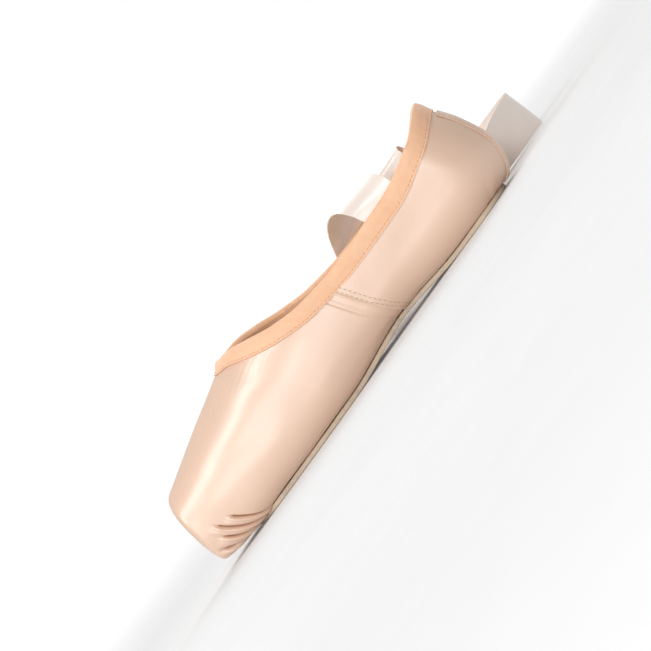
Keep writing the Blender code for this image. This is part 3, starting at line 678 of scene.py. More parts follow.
def make_piece(name, patches, finishes):
    """One closed mesh from patches that meet, at the frame's place, with its faces outwards."""
    offsets = np.cumsum([0] + [len(patch.points) for patch in patches])
    points = np.concatenate([patch.points for patch in patches]) + [0, LAST_SHIFT, 0]
    quads = np.concatenate([patch.quads + offset for patch, offset in zip(patches, offsets)])
    mesh = bpy.data.meshes.new(name)
    mesh.from_pydata(points.tolist(), [], quads.tolist())
    layer = mesh.uv_layers.new(name="Surface")
    layer.data.foreach_set("uv", np.concatenate([patch.uvs for patch in patches]).ravel())
    slots = np.concatenate([np.full(len(patch.quads), patch.finish) for patch in patches])
    mesh.polygons.foreach_set("material_index", slots.astype(np.int32))
    for key in sorted({key for patch in patches for key in patch.values}):
        attribute = mesh.attributes.new(key, "FLOAT", "POINT")
        filled = [patch.values.get(key, np.zeros(len(patch.points))) for patch in patches]
        attribute.data.foreach_set("value", np.concatenate(filled))
    for kind in finishes:
        mesh.materials.append(finish_of(kind))
    close_up(mesh)
    piece = placed(name, mesh)
    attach(piece, "root")
    return piece


MERGE_DISTANCE = 0.001 * MM
SHARP_ANGLE = math.radians(50)


def close_up(mesh):
    """Merges a mesh's doubles, turns its faces outwards and smooths it."""
    body = bmesh.new()
    body.from_mesh(mesh)
    bmesh.ops.remove_doubles(body, verts=body.verts, dist=MERGE_DISTANCE)
    bmesh.ops.dissolve_degenerate(body, edges=body.edges, dist=MERGE_DISTANCE)
    bmesh.ops.recalc_face_normals(body, faces=body.faces)
    if body.calc_volume(signed=True) < 0:
        bmesh.ops.reverse_faces(body, faces=body.faces)
    body.to_mesh(mesh)
    body.free()
    mesh.shade_smooth()
    mesh.set_sharp_from_angle(angle=SHARP_ANGLE)


def make_upper(grid, sizes):
    """The satin outside and the lining inside, as one wall that is open at the collar and the sole."""
    lift = upper_relief(grid, sizes.pleat_depth)
    outer = grid.points + grid.normals * lift[..., None]
    lining = slice(None, None, LINING_ROW_STEP)
    inner = grid.points[:, lining] - grid.normals[:, lining] * WALL
    # Painted shade: the satin's colour darkens where the relief sinks in, most in the pleats' slits
    fold = np.clip(-FOLD_SHADE_GAIN * lift / sizes.pleat_depth - FOLD_SHADE_FROM, 0, 1)
    # Painted shade: the satin's colour darkens low on its sides, towards the sole's margin
    under = np.broadcast_to(1 - soft_step(grid.shares, *UNDER_SHADE_SHARES), lift.shape)
    patches = [
        Patch(outer, closed_round=True, finish=0, fold=fold, under=under),
        Patch(inner, closed_round=True, finish=1),
        Patch(np.stack([outer[:, 0], inner[:, 0]], axis=1), closed_round=True, finish=1),
        Patch(np.stack([outer[:, -1], inner[:, -1]], axis=1), closed_round=True, finish=1),
    ]
    upper = make_piece("upper_satin", patches, ["satin", "lining"])
    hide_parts("upper")
    return upper


# Down the binding's width, from its fold at 0 to its edge at 1, as shares of its thickness: the puff
# over the cord, the furrow of its stitches, and the pucker between the two
BINDING_ROWS = 12
FOLD_STEPS = 10
BINDING_STITCHES = 0.86
BINDING_BODY = 0.55
BINDING_WAVES = [Wave(0.75, 0.30, 0.34), Wave(-0.28, BINDING_STITCHES, 0.07)]
INNER_PUFF = 0.5
PUCKER = Wave(0.10, 0.72, 0.20)
PUCKER_TURN = 2.9
KNOT = Wave(1.1 * MM, 0.0, 4.5 * MM)
KNOT_SHARE = 0.35
KNOT_BAND = 0.30
FOLD_HEIGHT = GAP + 1.5 * BINDING_THICKNESS
FOLD_BACK_HEIGHT = 1.6 * GAP
SUNK_OUTSIDE = 0.42
SUNK_INSIDE = 0.45


def binding_sections(grid):
    """Points, outward ways and rising ways down the binding's width, for each column."""
    down = np.linspace(0, BINDING_WIDTH, BINDING_ROWS + 1)
    points = grid.down_from_collar(grid.points, down)
    ways = unit(grid.down_from_collar(grid.normals, down))
    rise = square_to(unit(points[:, 0] - points[:, 2]), ways[:, 0])
    return down, points, ways, rise


def make_binding(grid):
    """A folded tape over the collar's edge, puffed over its cord and drawn in along its stitches."""
    down, points, ways, rise = binding_sections(grid)
    along = runs_along(np.swapaxes(points, 0, 1)).T / MM
    share = down / BINDING_WIDTH
    puff = relief_of(BINDING_WAVES, share)
    pucker = relief_of([PUCKER], share) * np.sin(PUCKER_TURN * along)
    knot = relief_of([KNOT], np.linalg.norm(points[:, 0] - points[0, 0], axis=1))
    outer = GAP + BINDING_THICKNESS * (BINDING_BODY + puff + pucker)
    outer = outer + knot[:, None] * bell(share, KNOT_SHARE, KNOT_BAND)
    inner = -WALL - GAP - BINDING_THICKNESS * (BINDING_BODY + INNER_PUFF * puff)
    middle = points[:, 0] - ways[:, 0] * WALL / 2
    turn = np.linspace(0, math.pi, FOLD_STEPS + 1)[None, 1:-1, None]

    def fold(out_reach, in_reach, height):
        reach = np.where(turn < math.pi / 2, out_reach[:, None, None], in_reach)
        return middle[:, None] + ways[:, :1] * np.cos(turn) * reach + rise[:, None] * np.sin(turn) * height

    out_leg = points + ways * outer[..., None]
    in_leg = points + ways * inner[None, :, None]
    out_back = points + ways * GAP
    in_back = points - ways * (WALL + GAP)
    skin = fold(outer[:, 0] + WALL / 2, WALL / 2 - inner[0] - WALL, FOLD_HEIGHT)
    back = fold(np.full(len(points), WALL / 2 + GAP), WALL / 2 + GAP, FOLD_BACK_HEIGHT)
    ring = [out_leg[:, ::-1], skin, in_leg, in_back[:, ::-1], back[:, ::-1], out_back]
    patches = [Patch(np.concatenate(ring, axis=1), closed_round=True, closed_across=True)]
    binding = make_piece("binding_tape", patches, ["binding"])
    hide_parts("binding")
    return binding


def binding_seams(grid):
    """The lines of stitches that hold the binding, outside and inside."""
    depth = [BINDING_STITCHES * BINDING_WIDTH]
    sewn = grid.down_from_collar(grid.points, depth)[:, 0]
    way = unit(grid.down_from_collar(grid.normals, depth))[:, 0]
    outside = sewn + way * (GAP + SUNK_OUTSIDE * BINDING_THICKNESS)
    inside = sewn - way * (WALL + GAP + SUNK_INSIDE * BINDING_THICKNESS)
    return [closed_line(outside), closed_line(inside)]


def closed_line(points):
    return np.concatenate([points, points[:1]])


# The shares of a side seam that its stitches lie between
SEWN_SHARES = (0.16, 1.72)


def side_seams(grid, lift):
    """Two rows of stitches behind each side seam."""
    near = grid.points + grid.normals * lift[..., None]
    far = np.roll(near[::-1], 1, axis=0)
    lowest, highest = SEWN_SHARES
    rows = (grid.shares > lowest) & (grid.shares < highest)
    places = np.interp(SEAM_ROWS, grid.behind_seam[: grid.half], np.arange(grid.half))
    return [between_rows(side, k)[rows] for k in places for side in (near, far)]


# Across the heel tape, from its middle: its raised edge and the furrow beside it
HEEL_STRIP_ROWS = 72
HEEL_STRIP_COLUMNS = 24
HEEL_EDGE = HEEL_STRIP_WIDTH / 2 - 1.0 * MM
HEEL_WAVES = [Wave(1.0, HEEL_EDGE, 0.55 * MM), Wave(-0.25, HEEL_EDGE - 1.5 * MM, 0.4 * MM)]
HEEL_BODY = 0.75
HEEL_RAISE = 0.5
HEEL_PUCKER = Wave(0.25, 0.03, 0.05)
HEEL_PUCKER_TURN = 1.9
HEEL_STITCH_ROWS = 40
HEEL_STITCH_COLUMNS = (4, -5)
SUNK_AT_HEEL = 0.62


def heel_strip_surface(rows, columns):
    """Where the tape over the back seam lies on the last, the ways out of it, and its span."""
    axis = np.array([0.0, HEEL_CENTRE, float(widest_at(LENGTH))])
    high = HEEL_HEIGHT - BINDING_WIDTH - HEEL_STRIP_CLEARANCE
    foot = np.array([0.0, LENGTH - HEEL_SETBACK + HEEL_STRIP_CLEARANCE, float(keel_at(LENGTH))])
    low_way = unit(foot - axis)
    high_way = unit(np.array([0.0, float(heel_line(high)), high]) - axis)
    level = np.array([0.0, 1.0, 0.0])
    share = np.linspace(0, 1, rows // 2 + 1)[:, None]
    ways = np.concatenate([turned(low_way, level, share)[:-1], turned(level, high_way, share)])
    centre = on_last(axis, ways)
    x = HEEL_STRIP_WIDTH * (np.arange(columns + 1) / columns - 0.5)
    starts = points_of(x, axis[1], axis[2])[None]
    aims = unit(points_of(x[None], centre[:, 1:2], centre[:, 2:3]) - starts)
    surface = on_last(np.broadcast_to(starts, aims.shape), aims)
    normals = normals_of(surface, closed_round=False)
    outwards = np.sign((normals * aims).sum(-1, keepdims=True))
    return surface, normals * outwards, x


def end_strips(top, bottom):
    """The patches that close a strip's two ends, between its upper and lower points."""
    return [Patch(np.stack([top[k], bottom[k]])) for k in (0, -1)]


def make_heel_strip():
    """A tape over the back seam with a raised edge on each side."""
    surface, normals, x = heel_strip_surface(HEEL_STRIP_ROWS, HEEL_STRIP_COLUMNS)
    raised = relief_of(HEEL_WAVES, np.abs(x))
    down = np.linspace(0, 1, HEEL_STRIP_ROWS + 1)[:, None]
    pucker = relief_of([HEEL_PUCKER], down) * np.sin(HEEL_PUCKER_TURN * x[None] / MM)
    height = GAP + HEEL_STRIP_THICKNESS * (HEEL_BODY + HEEL_RAISE * raised[None] + pucker)
    top = surface + normals * height[..., None]
    bottom = surface + normals * GAP
    sides = end_strips(np.swapaxes(top, 0, 1), np.swapaxes(bottom, 0, 1))
    patches = [Patch(top), Patch(bottom), *end_strips(top, bottom), *sides]
    strip = make_piece("heel_tape", patches, ["satin_tape"])
    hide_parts("heel_strip")
    return strip


# Faces along each stretch of a plate's outline and across it, and the half width from which the
# plate is dished in full
PLATE_COUNTS = [22, 36, 40, 22]
PLATE_COLUMNS = 16
DISH_REACH = 0.3 * OUTSOLE_WIDTH

# The plates in section: how far in from their outline, and how high over the last's underside
Level = namedtuple("Level", "inset lift")
SOLE_TOP = -GAP
SOLE_BOTTOM = -GAP - OUTSOLE_THICKNESS
SOLE_EDGE = [
    Level(0.90 * MM, SOLE_TOP),
    Level(0.25 * MM, SOLE_TOP - 0.15 * MM),
    Level(0.00 * MM, SOLE_TOP - 0.60 * MM),
    Level(0.00 * MM, SOLE_BOTTOM + 0.70 * MM),
    Level(0.20 * MM, SOLE_BOTTOM + 0.20 * MM),
    Level(0.70 * MM, SOLE_BOTTOM),
]
SOLE_CHANNEL = [
    SOLE_EDGE[-1],
    Level(CHANNEL_INSET, SOLE_BOTTOM),
    Level(CHANNEL_INSET + 0.2 * CHANNEL_WIDTH, SOLE_BOTTOM + 0.7 * CHANNEL_DEPTH),
    Level(CHANNEL_INSET + 0.5 * CHANNEL_WIDTH, SOLE_BOTTOM + CHANNEL_DEPTH),
    Level(CHANNEL_INSET + 0.8 * CHANNEL_WIDTH, SOLE_BOTTOM + 0.7 * CHANNEL_DEPTH),
]
INSOLE_TOP = INSOLE_LIFT + INSOLE_THICKNESS
INSOLE_DISH = 0.5 * MM
INSOLE_EDGE = [
    Level(INSOLE_INSET + 1.2 * MM, INSOLE_TOP),
    Level(INSOLE_INSET + 0.4 * MM, INSOLE_TOP - 0.25 * MM),
    Level(INSOLE_INSET, INSOLE_TOP - 0.80 * MM),
    Level(INSOLE_INSET, INSOLE_LIFT + 0.50 * MM),
    Level(INSOLE_INSET + 0.4 * MM, INSOLE_LIFT),
]


def plate_half(inset, lift):
    start = TIP_SETBACK + inset
    end = LENGTH - HEEL_SETBACK - inset
    cuts = [start + 0.5 * TIP_RADIUS, BALL_KNOT * LENGTH, end - 0.5 * HEEL_END_RADIUS]
    return spread(sole_curve(inset, lift), cuts, PLATE_COUNTS)


def plate_outline(inset, lift):
    return whole_round(plate_half(inset, lift))


def plate_face(inset, lift, dish=0.0):
    """A plate's upper or lower face, from its near edge to its far edge, lifted in its middle."""
    half = plate_half(inset, lift)
    across = 1 - 2 * np.arange(PLATE_COLUMNS + 1) / PLATE_COLUMNS
    x = half[:, :1] * across[None]
    raised = dish * (1 - across[None] ** 2) * np.minimum(half[:, :1] / DISH_REACH, 1)
    return points_of(x, half[:, 1:2], half[:, 2:3] + raised)


def plate_wall(levels, finish=0):
    """The rim of a plate, through the levels of its section."""
    return Patch(np.array([plate_outline(*level) for level in levels]), closed_across=True, finish=finish)


def make_outsole(sizes):
    """The leather outsole: a cut edge, the stitch channel and the face that the tread's ribs lie on."""
    face = Level(CHANNEL_INSET + CHANNEL_WIDTH, SOLE_BOTTOM + sizes.tread_depth)
    patches = [
        plate_wall(SOLE_EDGE, finish=1),
        plate_wall(SOLE_CHANNEL + [face]),
        Patch(plate_face(*SOLE_EDGE[0])),
        Patch(plate_face(*face)),
    ]
    outsole = make_piece("outsole_leather", patches, ["leather", "leather_edge"])
    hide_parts("outsole")
    return outsole


def make_insole():
    """The covered insole board, a little cupped, with a soft rounded edge."""
    patches = [
        plate_wall(INSOLE_EDGE),
        Patch(plate_face(*INSOLE_EDGE[0], dish=-INSOLE_DISH)),
        Patch(plate_face(*INSOLE_EDGE[-1])),
    ]
    insole = make_piece("insole_cover", patches, ["lining"])
    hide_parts("insole")
    return insole


# Each ribbon's route, in millimetres: x, y from the toe, the height of its lower
# edge, and where its width points, as a compass turn and a lean from level in degrees
RibbonPoint = namedtuple("RibbonPoint", "x y lift turn lean")
RIBBON_LEFT = [
    RibbonPoint(21.2, 182, 17, 90, 0),
    RibbonPoint(21.2, 182, 30, 90, 0),
    RibbonPoint(20.8, 181, 42, 90, 0),
    RibbonPoint(17, 179, 50, 100, 0),
    RibbonPoint(8, 174, 55.5, 112, 0),
    RibbonPoint(-5, 167, 56, 117, 0),
    RibbonPoint(-18, 160, 52.5, 117, 0),
    RibbonPoint(-29, 154, 46, 117, 0),
    RibbonPoint(-35, 149, 37, 117, 0),
    RibbonPoint(-39, 145, 25, 118, 5),
    RibbonPoint(-45, 138, 12, 122, 12),
    RibbonPoint(-56, 127, 3, 130, 25),
    RibbonPoint(-74, 111, 0, 140, 55),
    RibbonPoint(-86, 88, 0, 177, 85),
    RibbonPoint(-77, 63, 0, 208, 75),
    RibbonPoint(-62, 40, 0, 203, 55),
    RibbonPoint(-60, 17, 0, 160, 80),
    RibbonPoint(-76, 1, 0, 110, 88),
    RibbonPoint(-97, 3, 0, 56, 85),
    RibbonPoint(-108, 23, 0, 9, 65),
    RibbonPoint(-105, 46, 0, 5, 45),
    RibbonPoint(-112, 68, 0, 37, 30),
    RibbonPoint(-130, 82, 0, 56, 14),
]
RIBBON_RIGHT = [
    RibbonPoint(-21.7, 189, 17, 90, 0),
    RibbonPoint(-21.7, 189, 30, 90, 0),
    RibbonPoint(-21.5, 189, 41, 90, 0),
    RibbonPoint(-23.5, 189, 49, 90, 0),
    RibbonPoint(-29.5, 190, 48, 90, 0),
    RibbonPoint(-33, 191, 39, 90, 0),
    RibbonPoint(-35, 193, 27, 88, 0),
    RibbonPoint(-38, 196, 14, 82, 5),
    RibbonPoint(-45, 203, 3, 65, 25),
    RibbonPoint(-56, 215, 0, 42, 50),
    RibbonPoint(-69, 232, 0, 48, 78),
    RibbonPoint(-89, 243, 0, 85, 88),
    RibbonPoint(-110, 236, 0, 133, 88),
    RibbonPoint(-119, 214, 0, 183, 85),
    RibbonPoint(-108, 192, 0, 215, 62),
    RibbonPoint(-91, 176, 0, 214, 58),
    RibbonPoint(-83, 154, 0, 171, 82),
    RibbonPoint(-97, 137, 0, 110, 88),
    RibbonPoint(-120, 139, 0, 70, 84),
    RibbonPoint(-139, 153, 0, 56, 62),
    RibbonPoint(-158, 168, 0, 60, 38),
    RibbonPoint(-178, 178, 0, 66, 16),
    RibbonPoint(-199, 184, 0, 70, 8),
]
RIBBONS = [
    ("ribbon_left_satin", "ribbon_left", RIBBON_LEFT),
    ("ribbon_right_satin", "ribbon_right", RIBBON_RIGHT),
]

# How a ribbon is divided, and its firm edges, its ripple, its slanted cut and its sewn square
RIBBON_SAMPLES = 8
RIBBON_COLUMNS = 10
RIBBON_EDGE = 0.9 * MM
RIBBON_FIRMNESS = 0.25
RIBBON_RIPPLE = 0.18 * MM
RIBBON_RIPPLE_LENGTH = 7.3 * MM
RIBBON_CUT = 1.0 * MM
RIBBON_SLANT = 2.4 * MM
RIBBON_SEWN_RINGS = (1, 9)
RIBBON_SEWN_INSET = 1


def ribbon_frames(route):
    """The route's places and the directions of the ribbon's width."""
    places = np.array([(point.x, point.y, point.lift) for point in route], dtype=float) * MM
    turn = np.radians([point.turn for point in route])
    lean = np.radians([point.lean for point in route])
    widths = points_of(np.cos(turn) * np.cos(lean), np.sin(turn) * np.cos(lean), np.sin(lean))
    return places, widths


def between(values, samples):
    """A Catmull-Rom curve through rows of numbers, with a number of samples for each stretch."""
    padded = np.concatenate([values[:1], values, values[-1:]])
    found = []
    for k in range(len(values) - 1):
        before, start, end, after = padded[k : k + 4]
        share = (np.arange(samples) / samples)[:, None]
        bend = 2 * before - 5 * start + 4 * end - after
        turn = 3 * start - before - 3 * end + after
        found.append((2 * start + (end - before) * share + bend * share**2 + turn * share**3) / 2)
    return np.concatenate(found + [values[-1:]])


def ribbon_rings(route, sizes):
    """The upper and lower points of a ribbon's sections, with firm edges and a slight ripple."""
    places, widths = ribbon_frames(route)
    centres = between(places, RIBBON_SAMPLES)
    ways = unit(between(widths, RIBBON_SAMPLES))
    rise = RIBBON_WIDTH / 2 * np.abs(ways[:, 2]) + RIBBON_THICKNESS
    centres[:, 2] = np.maximum(centres[:, 2], 0) + rise
    ahead = unit(np.gradient(centres, axis=0))
    across = square_to(ways, ahead)
    up = unit(np.cross(ahead, across))
    share = np.linspace(-1, 1, RIBBON_COLUMNS + 1)
    span = share * RIBBON_WIDTH / 2
    run = runs_along(centres[None])[0]
    firm = bell(np.abs(span), RIBBON_WIDTH / 2 - RIBBON_EDGE / 2, RIBBON_EDGE)
    half_thick = sizes.ribbon_thickness / 2 * (1 - RIBBON_FIRMNESS + RIBBON_FIRMNESS * firm)
    ripple = RIBBON_RIPPLE * np.sin(run[:, None] / RIBBON_RIPPLE_LENGTH) * share * np.abs(share)
    slant = np.where(run > run[-1] - RIBBON_CUT, RIBBON_SLANT, 0.0)[:, None, None] * share[None, :, None]
    skin = centres[:, None] + across[:, None] * span[None, :, None] + up[:, None] * ripple[..., None]
    skin = skin + ahead[:, None] * slant
    top = skin + up[:, None] * half_thick[None, :, None]
    bottom = skin - up[:, None] * half_thick[None, :, None]
    return top, bottom, float(run[-1])


def make_ribbon(name, node, route, sizes):
    """A satin ribbon, sewn inside the quarter and laid down loose beside the shoe."""
    top, bottom, length = ribbon_rings(route, sizes)
    rings = np.concatenate([top, bottom[:, ::-1]], axis=1)
    patches = [Patch(rings, closed_across=True), *end_strips(top, bottom)]
    ribbon = make_piece(name, patches, ["ribbon"])
    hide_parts(node)
    return ribbon


def ribbon_seams(route, sizes):
    """A stitched square where a ribbon is sewn to the lining."""
    top, bottom, _ = ribbon_rings(route, sizes)
    face = top if top[0, 0, 0] * (top[0, 0, 0] - bottom[0, 0, 0]) < 0 else bottom
    first, last = RIBBON_SEWN_RINGS
    left = RIBBON_SEWN_INSET
    right = RIBBON_COLUMNS - RIBBON_SEWN_INSET
    corners = [face[first, left], face[first, right], face[last, right], face[last, left]]
    return [closed_line(np.array(corners))]


def heel_seams():
    """The rows of stitches along both edges of the heel tape."""
    surface, normals, _ = heel_strip_surface(HEEL_STITCH_ROWS, HEEL_STRIP_COLUMNS)
    raised = surface + normals * (GAP + SUNK_AT_HEEL * HEEL_STRIP_THICKNESS)
    return [raised[1:-1, k] for k in HEEL_STITCH_COLUMNS]


# Few faces, because there are hundreds of stitches and ribs
STITCH_SEGMENTS = 6
STITCH_RINGS = 5
RIB_SEGMENTS = 8


class Steps:
    """Adds nodes to a tree one after another, so that a finish reads as a list of steps."""

    def __init__(self, tree):
        self.tree = tree

    def add(self, kind, inputs=None, **settings):
        node = self.tree.nodes.new(kind)
        for key, value in settings.items():
            setattr(node, key, value)
        for key, value in (inputs or {}).items():
            self.set(node.inputs[key], value)
        return node

    def set(self, socket, value):
        if isinstance(value, bpy.types.NodeSocket):
            self.tree.links.new(value, socket)
        else:
            socket.default_value = value

    def math(self, operation, *values):
        node = self.add("ShaderNodeMath", operation=operation)
        for socket, value in zip(node.inputs, values):
            self.set(socket, value)
        return node.outputs[0]

    def weighed(self, *parts):
        """The sum of values, each times its own weight."""
        total = 0.0
        for value, weight in parts:
            total = self.math("MULTIPLY_ADD", value, weight, total)
        return total

    def noise(self, vector, scale=1.0, detail=3.0):
        inputs = {"Vector": vector, "Scale": scale, "Detail": detail}
        return self.add("ShaderNodeTexNoise", inputs).outputs["Fac"]

    def stretched(self, vector, factors):
        node = self.add("ShaderNodeVectorMath", {0: vector, 1: factors}, operation="MULTIPLY")
        return node.outputs[0]

    def ranged(self, value, low, high, first=0.0, last=1.0):
        inputs = {"Value": value, "From Min": low, "From Max": high, "To Min": first, "To Max": last}
        return self.add("ShaderNodeMapRange", inputs).outputs["Result"]

    def blend(self, share, first, second):
        """A colour between two. A mix node's colour sockets share their names, so these are numbers."""
        node = self.add("ShaderNodeMix", {0: share, 6: first, 7: second}, data_type="RGBA")
        return node.outputs[2]

    def effect(self, group, **inputs):
        node = self.add("ShaderNodeGroup", node_tree=group)
        for key, value in inputs.items():
            self.set(node.inputs[key.replace("_", " ")], value)
        return node.outputs


def node_group(kind, name, inputs, outputs):
    """A node group with named sockets, each with its form and an input's default, if it has one."""
    tree = bpy.data.node_groups.new(name, kind)
    for socket, form, value in inputs:
        item = tree.interface.new_socket(socket, in_out="INPUT", socket_type="NodeSocket" + form)
        if value is not None:
            item.default_value = value
    for socket, form in outputs:
        tree.interface.new_socket(socket, in_out="OUTPUT", socket_type="NodeSocket" + form)
    steps = Steps(tree)
    return steps, steps.add("NodeGroupInput").outputs, steps.add("NodeGroupOutput").inputs


def line_group(name, sizes):
    """A geometry node group that lays something along lines, with named inputs for its sizes."""
    inputs = [("Geometry", "Geometry", None), *[(size, "Float", None) for size in sizes]]
    inputs.append(("Material", "Material", None))
    return node_group("GeometryNodeTree", name, inputs, [("Geometry", "Geometry")])


def made_real(steps, given, put, geometry):
    """Ends a geometry node group: real and smooth, with the given material."""
    solid = steps.add("GeometryNodeRealizeInstances", {"Geometry": geometry}).outputs["Geometry"]
    smooth = steps.add("GeometryNodeSetShadeSmooth", {"Geometry": solid}).outputs["Geometry"]
    inputs = {"Geometry": smooth, "Material": given["Material"]}
    steps.set(put["Geometry"], steps.add("GeometryNodeSetMaterial", inputs).outputs["Geometry"])
    return steps.tree


@cache
def stitch_tree():
    """Threads laid end to end along lines."""
    steps, given, put = line_group("Stitches along lines", ["Pitch", "Stitch", "Thread"])
    line = steps.add("GeometryNodeMeshToCurve", {"Mesh": given["Geometry"]}).outputs["Curve"]
    inputs = {"Curve": line, "Length": given["Pitch"]}
    spaced = steps.add("GeometryNodeResampleCurve", inputs, mode="LENGTH").outputs["Curve"]
    tangent = steps.add("GeometryNodeInputTangent").outputs["Tangent"]
    turn = steps.add("FunctionNodeAlignRotationToVector", {"Vector": tangent}, axis="Z")
    inputs = {"Segments": STITCH_SEGMENTS, "Rings": STITCH_RINGS, "Radius": 0.5}
    ball = steps.add("GeometryNodeMeshUVSphere", inputs).outputs["Mesh"]
    inputs = {"X": given["Thread"], "Y": given["Thread"], "Z": given["Stitch"]}
    size = steps.add("ShaderNodeCombineXYZ", inputs).outputs["Vector"]
    thread = steps.add("GeometryNodeTransform", {"Geometry": ball, "Scale": size}).outputs["Geometry"]
    inputs = {"Points": spaced, "Instance": thread, "Rotation": turn.outputs["Rotation"]}
    sewn = steps.add("GeometryNodeInstanceOnPoints", inputs).outputs["Instances"]
    return made_real(steps, given, put, sewn)


@cache
def rib_tree():
    """Low rounded ribs along lines."""
    steps, given, put = line_group("Ribs along lines", ["Width"])
    line = steps.add("GeometryNodeMeshToCurve", {"Mesh": given["Geometry"]}).outputs["Curve"]
    inputs = {"Resolution": RIB_SEGMENTS, "Radius": steps.math("MULTIPLY", given["Width"], 0.5)}
    circle = steps.add("GeometryNodeCurvePrimitiveCircle", inputs).outputs["Curve"]
    inputs = {"Curve": line, "Profile Curve": circle, "Fill Caps": True}
    rib = steps.add("GeometryNodeCurveToMesh", inputs).outputs["Mesh"]
    return made_real(steps, given, put, rib)


def along_lines(name, lines, tree, **values):
    """A plain mesh of what a node tree makes along lines of points."""
    mesh = bpy.data.meshes.new(name)
    starts = np.cumsum([0] + [len(line) for line in lines])
    edges = [(start + k, start + k + 1) for start, line in zip(starts, lines) for k in range(len(line) - 1)]
    points = np.concatenate(lines) + [0, LAST_SHIFT, 0]
    mesh.from_pydata(points.tolist(), edges, [])
    piece = placed(name, mesh)
    maker = piece.modifiers.new("Along lines", "NODES")
    maker.node_group = tree
    for item in tree.interface.items_tree:
        if item.in_out == "INPUT" and item.name in values:
            maker[item.identifier] = values[item.name]
    seen = piece.evaluated_get(bpy.context.evaluated_depsgraph_get())
    made = bpy.data.meshes.new_from_object(seen)
    piece.modifiers.remove(maker)
    piece.data = made
    bpy.data.meshes.remove(mesh)
    made.name = name
    if not made.polygons:
        raise RuntimeError(f"{name}: nothing was made along its lines")
    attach(piece, "root")
    return piece


# The scored fields under the ball, from the toe's side, and how far their lines slant
Scoring = namedtuple("Scoring", "start end slant")
SCORINGS = [Scoring(48 * MM, 70 * MM, -0.7), Scoring(73 * MM, 112 * MM, 0.85)]
TREAD_INSET = 7 * MM
TREAD_SAMPLES = 120
SHORTEST_RIB = 8
RIB_POINTS = 6
RIB_WIDTH = 1.6


def tread_lines(pitch, depth):
    """The slanting ribs under the ball, each cut off inside the outsole's edge."""
    lines = []
    x = np.linspace(-OUTSOLE_WIDTH / 2, OUTSOLE_WIDTH / 2, TREAD_SAMPLES)
    for scoring in SCORINGS:
        reach = OUTSOLE_WIDTH * abs(scoring.slant)
        for first in np.arange(scoring.start - reach, scoring.end + reach, pitch):
            y = first + scoring.slant * x
            inside = (y > scoring.start) & (y < scoring.end)
            inside &= np.abs(x) < sole_half_width(y, TREAD_INSET)
            if inside.sum() > SHORTEST_RIB:
                kept = np.flatnonzero(inside)
                kept = np.linspace(kept[0], kept[-1], RIB_POINTS).astype(int)
                z = keel_at(y[kept]) + SOLE_BOTTOM + depth
                lines.append(points_of(x[kept], y[kept], z))
    return lines


def make_tread(sizes):
    """The ribs scored into the outsole's face."""
    lines = tread_lines(sizes.tread_pitch, sizes.tread_depth)
    width = RIB_WIDTH * sizes.tread_depth
    tread = along_lines("outsole_tread", lines, rib_tree(), Width=width, Material=finish_of("leather"))
    return tread


def sew(name, lines, kind, sizes):
    """A row of stitches along each line, at the add-on's pitch, length and thread."""
    return along_lines(
        name,
        lines,
        stitch_tree(),
        Pitch=sizes.stitch_pitch,
        Stitch=sizes.stitch_length,
        Thread=sizes.thread_width,
        Material=finish_of(kind),
    )


def effect_group(name, inputs, outputs):
    """A shader node group: an input without a default is a vector, and the rest are numbers."""
    sockets = [(socket, "Vector" if value is None else "Float", value) for socket, value in inputs]
    return node_group("ShaderNodeTree", name, sockets, [(socket, "Float") for socket in outputs])


# How often each pattern repeats in a metre: along, across and through the cloth or the leather
SLUB_RATE = (110.0, 1900.0, 1.0)
STREAK_RATE = (45.0, 260.0, 1.0)
WEAVE_RATE = (300.0, 300.0, 1.0)
FIBRE_RATE = (1400.0, 420.0, 1.0)
RUBBED_RATE = 38.0
TWIST_RATE = 2600.0

# The levels of each pattern's noise that count as none and as all of it
CLEAR_RANGE = (0.30, 0.70)
PATCH_RANGE = (0.32, 0.68)
RUBBED_RANGE = (0.46, 0.66)
TWIST_RANGE = (0.35, 0.65)

# How much each pattern adds to the relief or the shade of its effect
THREAD_IN_RELIEF = 0.35
SLUB_IN_RELIEF = 0.12
SLUB_IN_STREAK = 0.45
SQUARES_IN_RELIEF = 0.50
CELLS_IN_RELIEF = 0.50
FIBRES_IN_RELIEF = 0.60


@cache
def satin_threads():
    """The long floats of satin: fine lines along the surface and a faint streakiness."""
    inputs = [("Surface", None), ("Thread", 0.3 * MM)]
    steps, given, put = effect_group("Satin threads", inputs, ["Height", "Streak"])
    parts = steps.add("ShaderNodeSeparateXYZ", {"Vector": given["Surface"]}).outputs
    turns = steps.math("DIVIDE", parts["Y"], given["Thread"])
    line = steps.math("ABSOLUTE", steps.math("SINE", steps.math("MULTIPLY", turns, math.pi)))
    slub = steps.noise(steps.stretched(given["Surface"], SLUB_RATE), detail=2.0)
    broad = steps.noise(steps.stretched(given["Surface"], STREAK_RATE), detail=2.0)
    steps.set(put["Height"], steps.weighed((line, THREAD_IN_RELIEF), (slub, SLUB_IN_RELIEF)))
    steps.set(put["Streak"], steps.weighed((broad, 1 - SLUB_IN_STREAK), (slub, SLUB_IN_STREAK)))
    return steps.tree


@cache
def plain_weave():
    """Cloth woven one over one: small raised squares."""
    inputs = [("Surface", None), ("Thread", 0.4 * MM)]
    steps, given, put = effect_group("Plain weave", inputs, ["Height", "Shade"])
    parts = steps.add("ShaderNodeSeparateXYZ", {"Vector": given["Surface"]}).outputs
    waves = []
    for axis in ("X", "Y"):
        turns = steps.math("DIVIDE", parts[axis], given["Thread"])
        waves.append(steps.math("SINE", steps.math("MULTIPLY", turns, math.pi)))
    squares = steps.math("MULTIPLY", *waves)
    patchy = steps.noise(steps.stretched(given["Surface"], WEAVE_RATE))
    steps.set(put["Height"], steps.weighed((patchy, 1.0), (squares, SQUARES_IN_RELIEF)))
    steps.set(put["Shade"], steps.ranged(patchy, *CLEAR_RANGE))
    return steps.tree


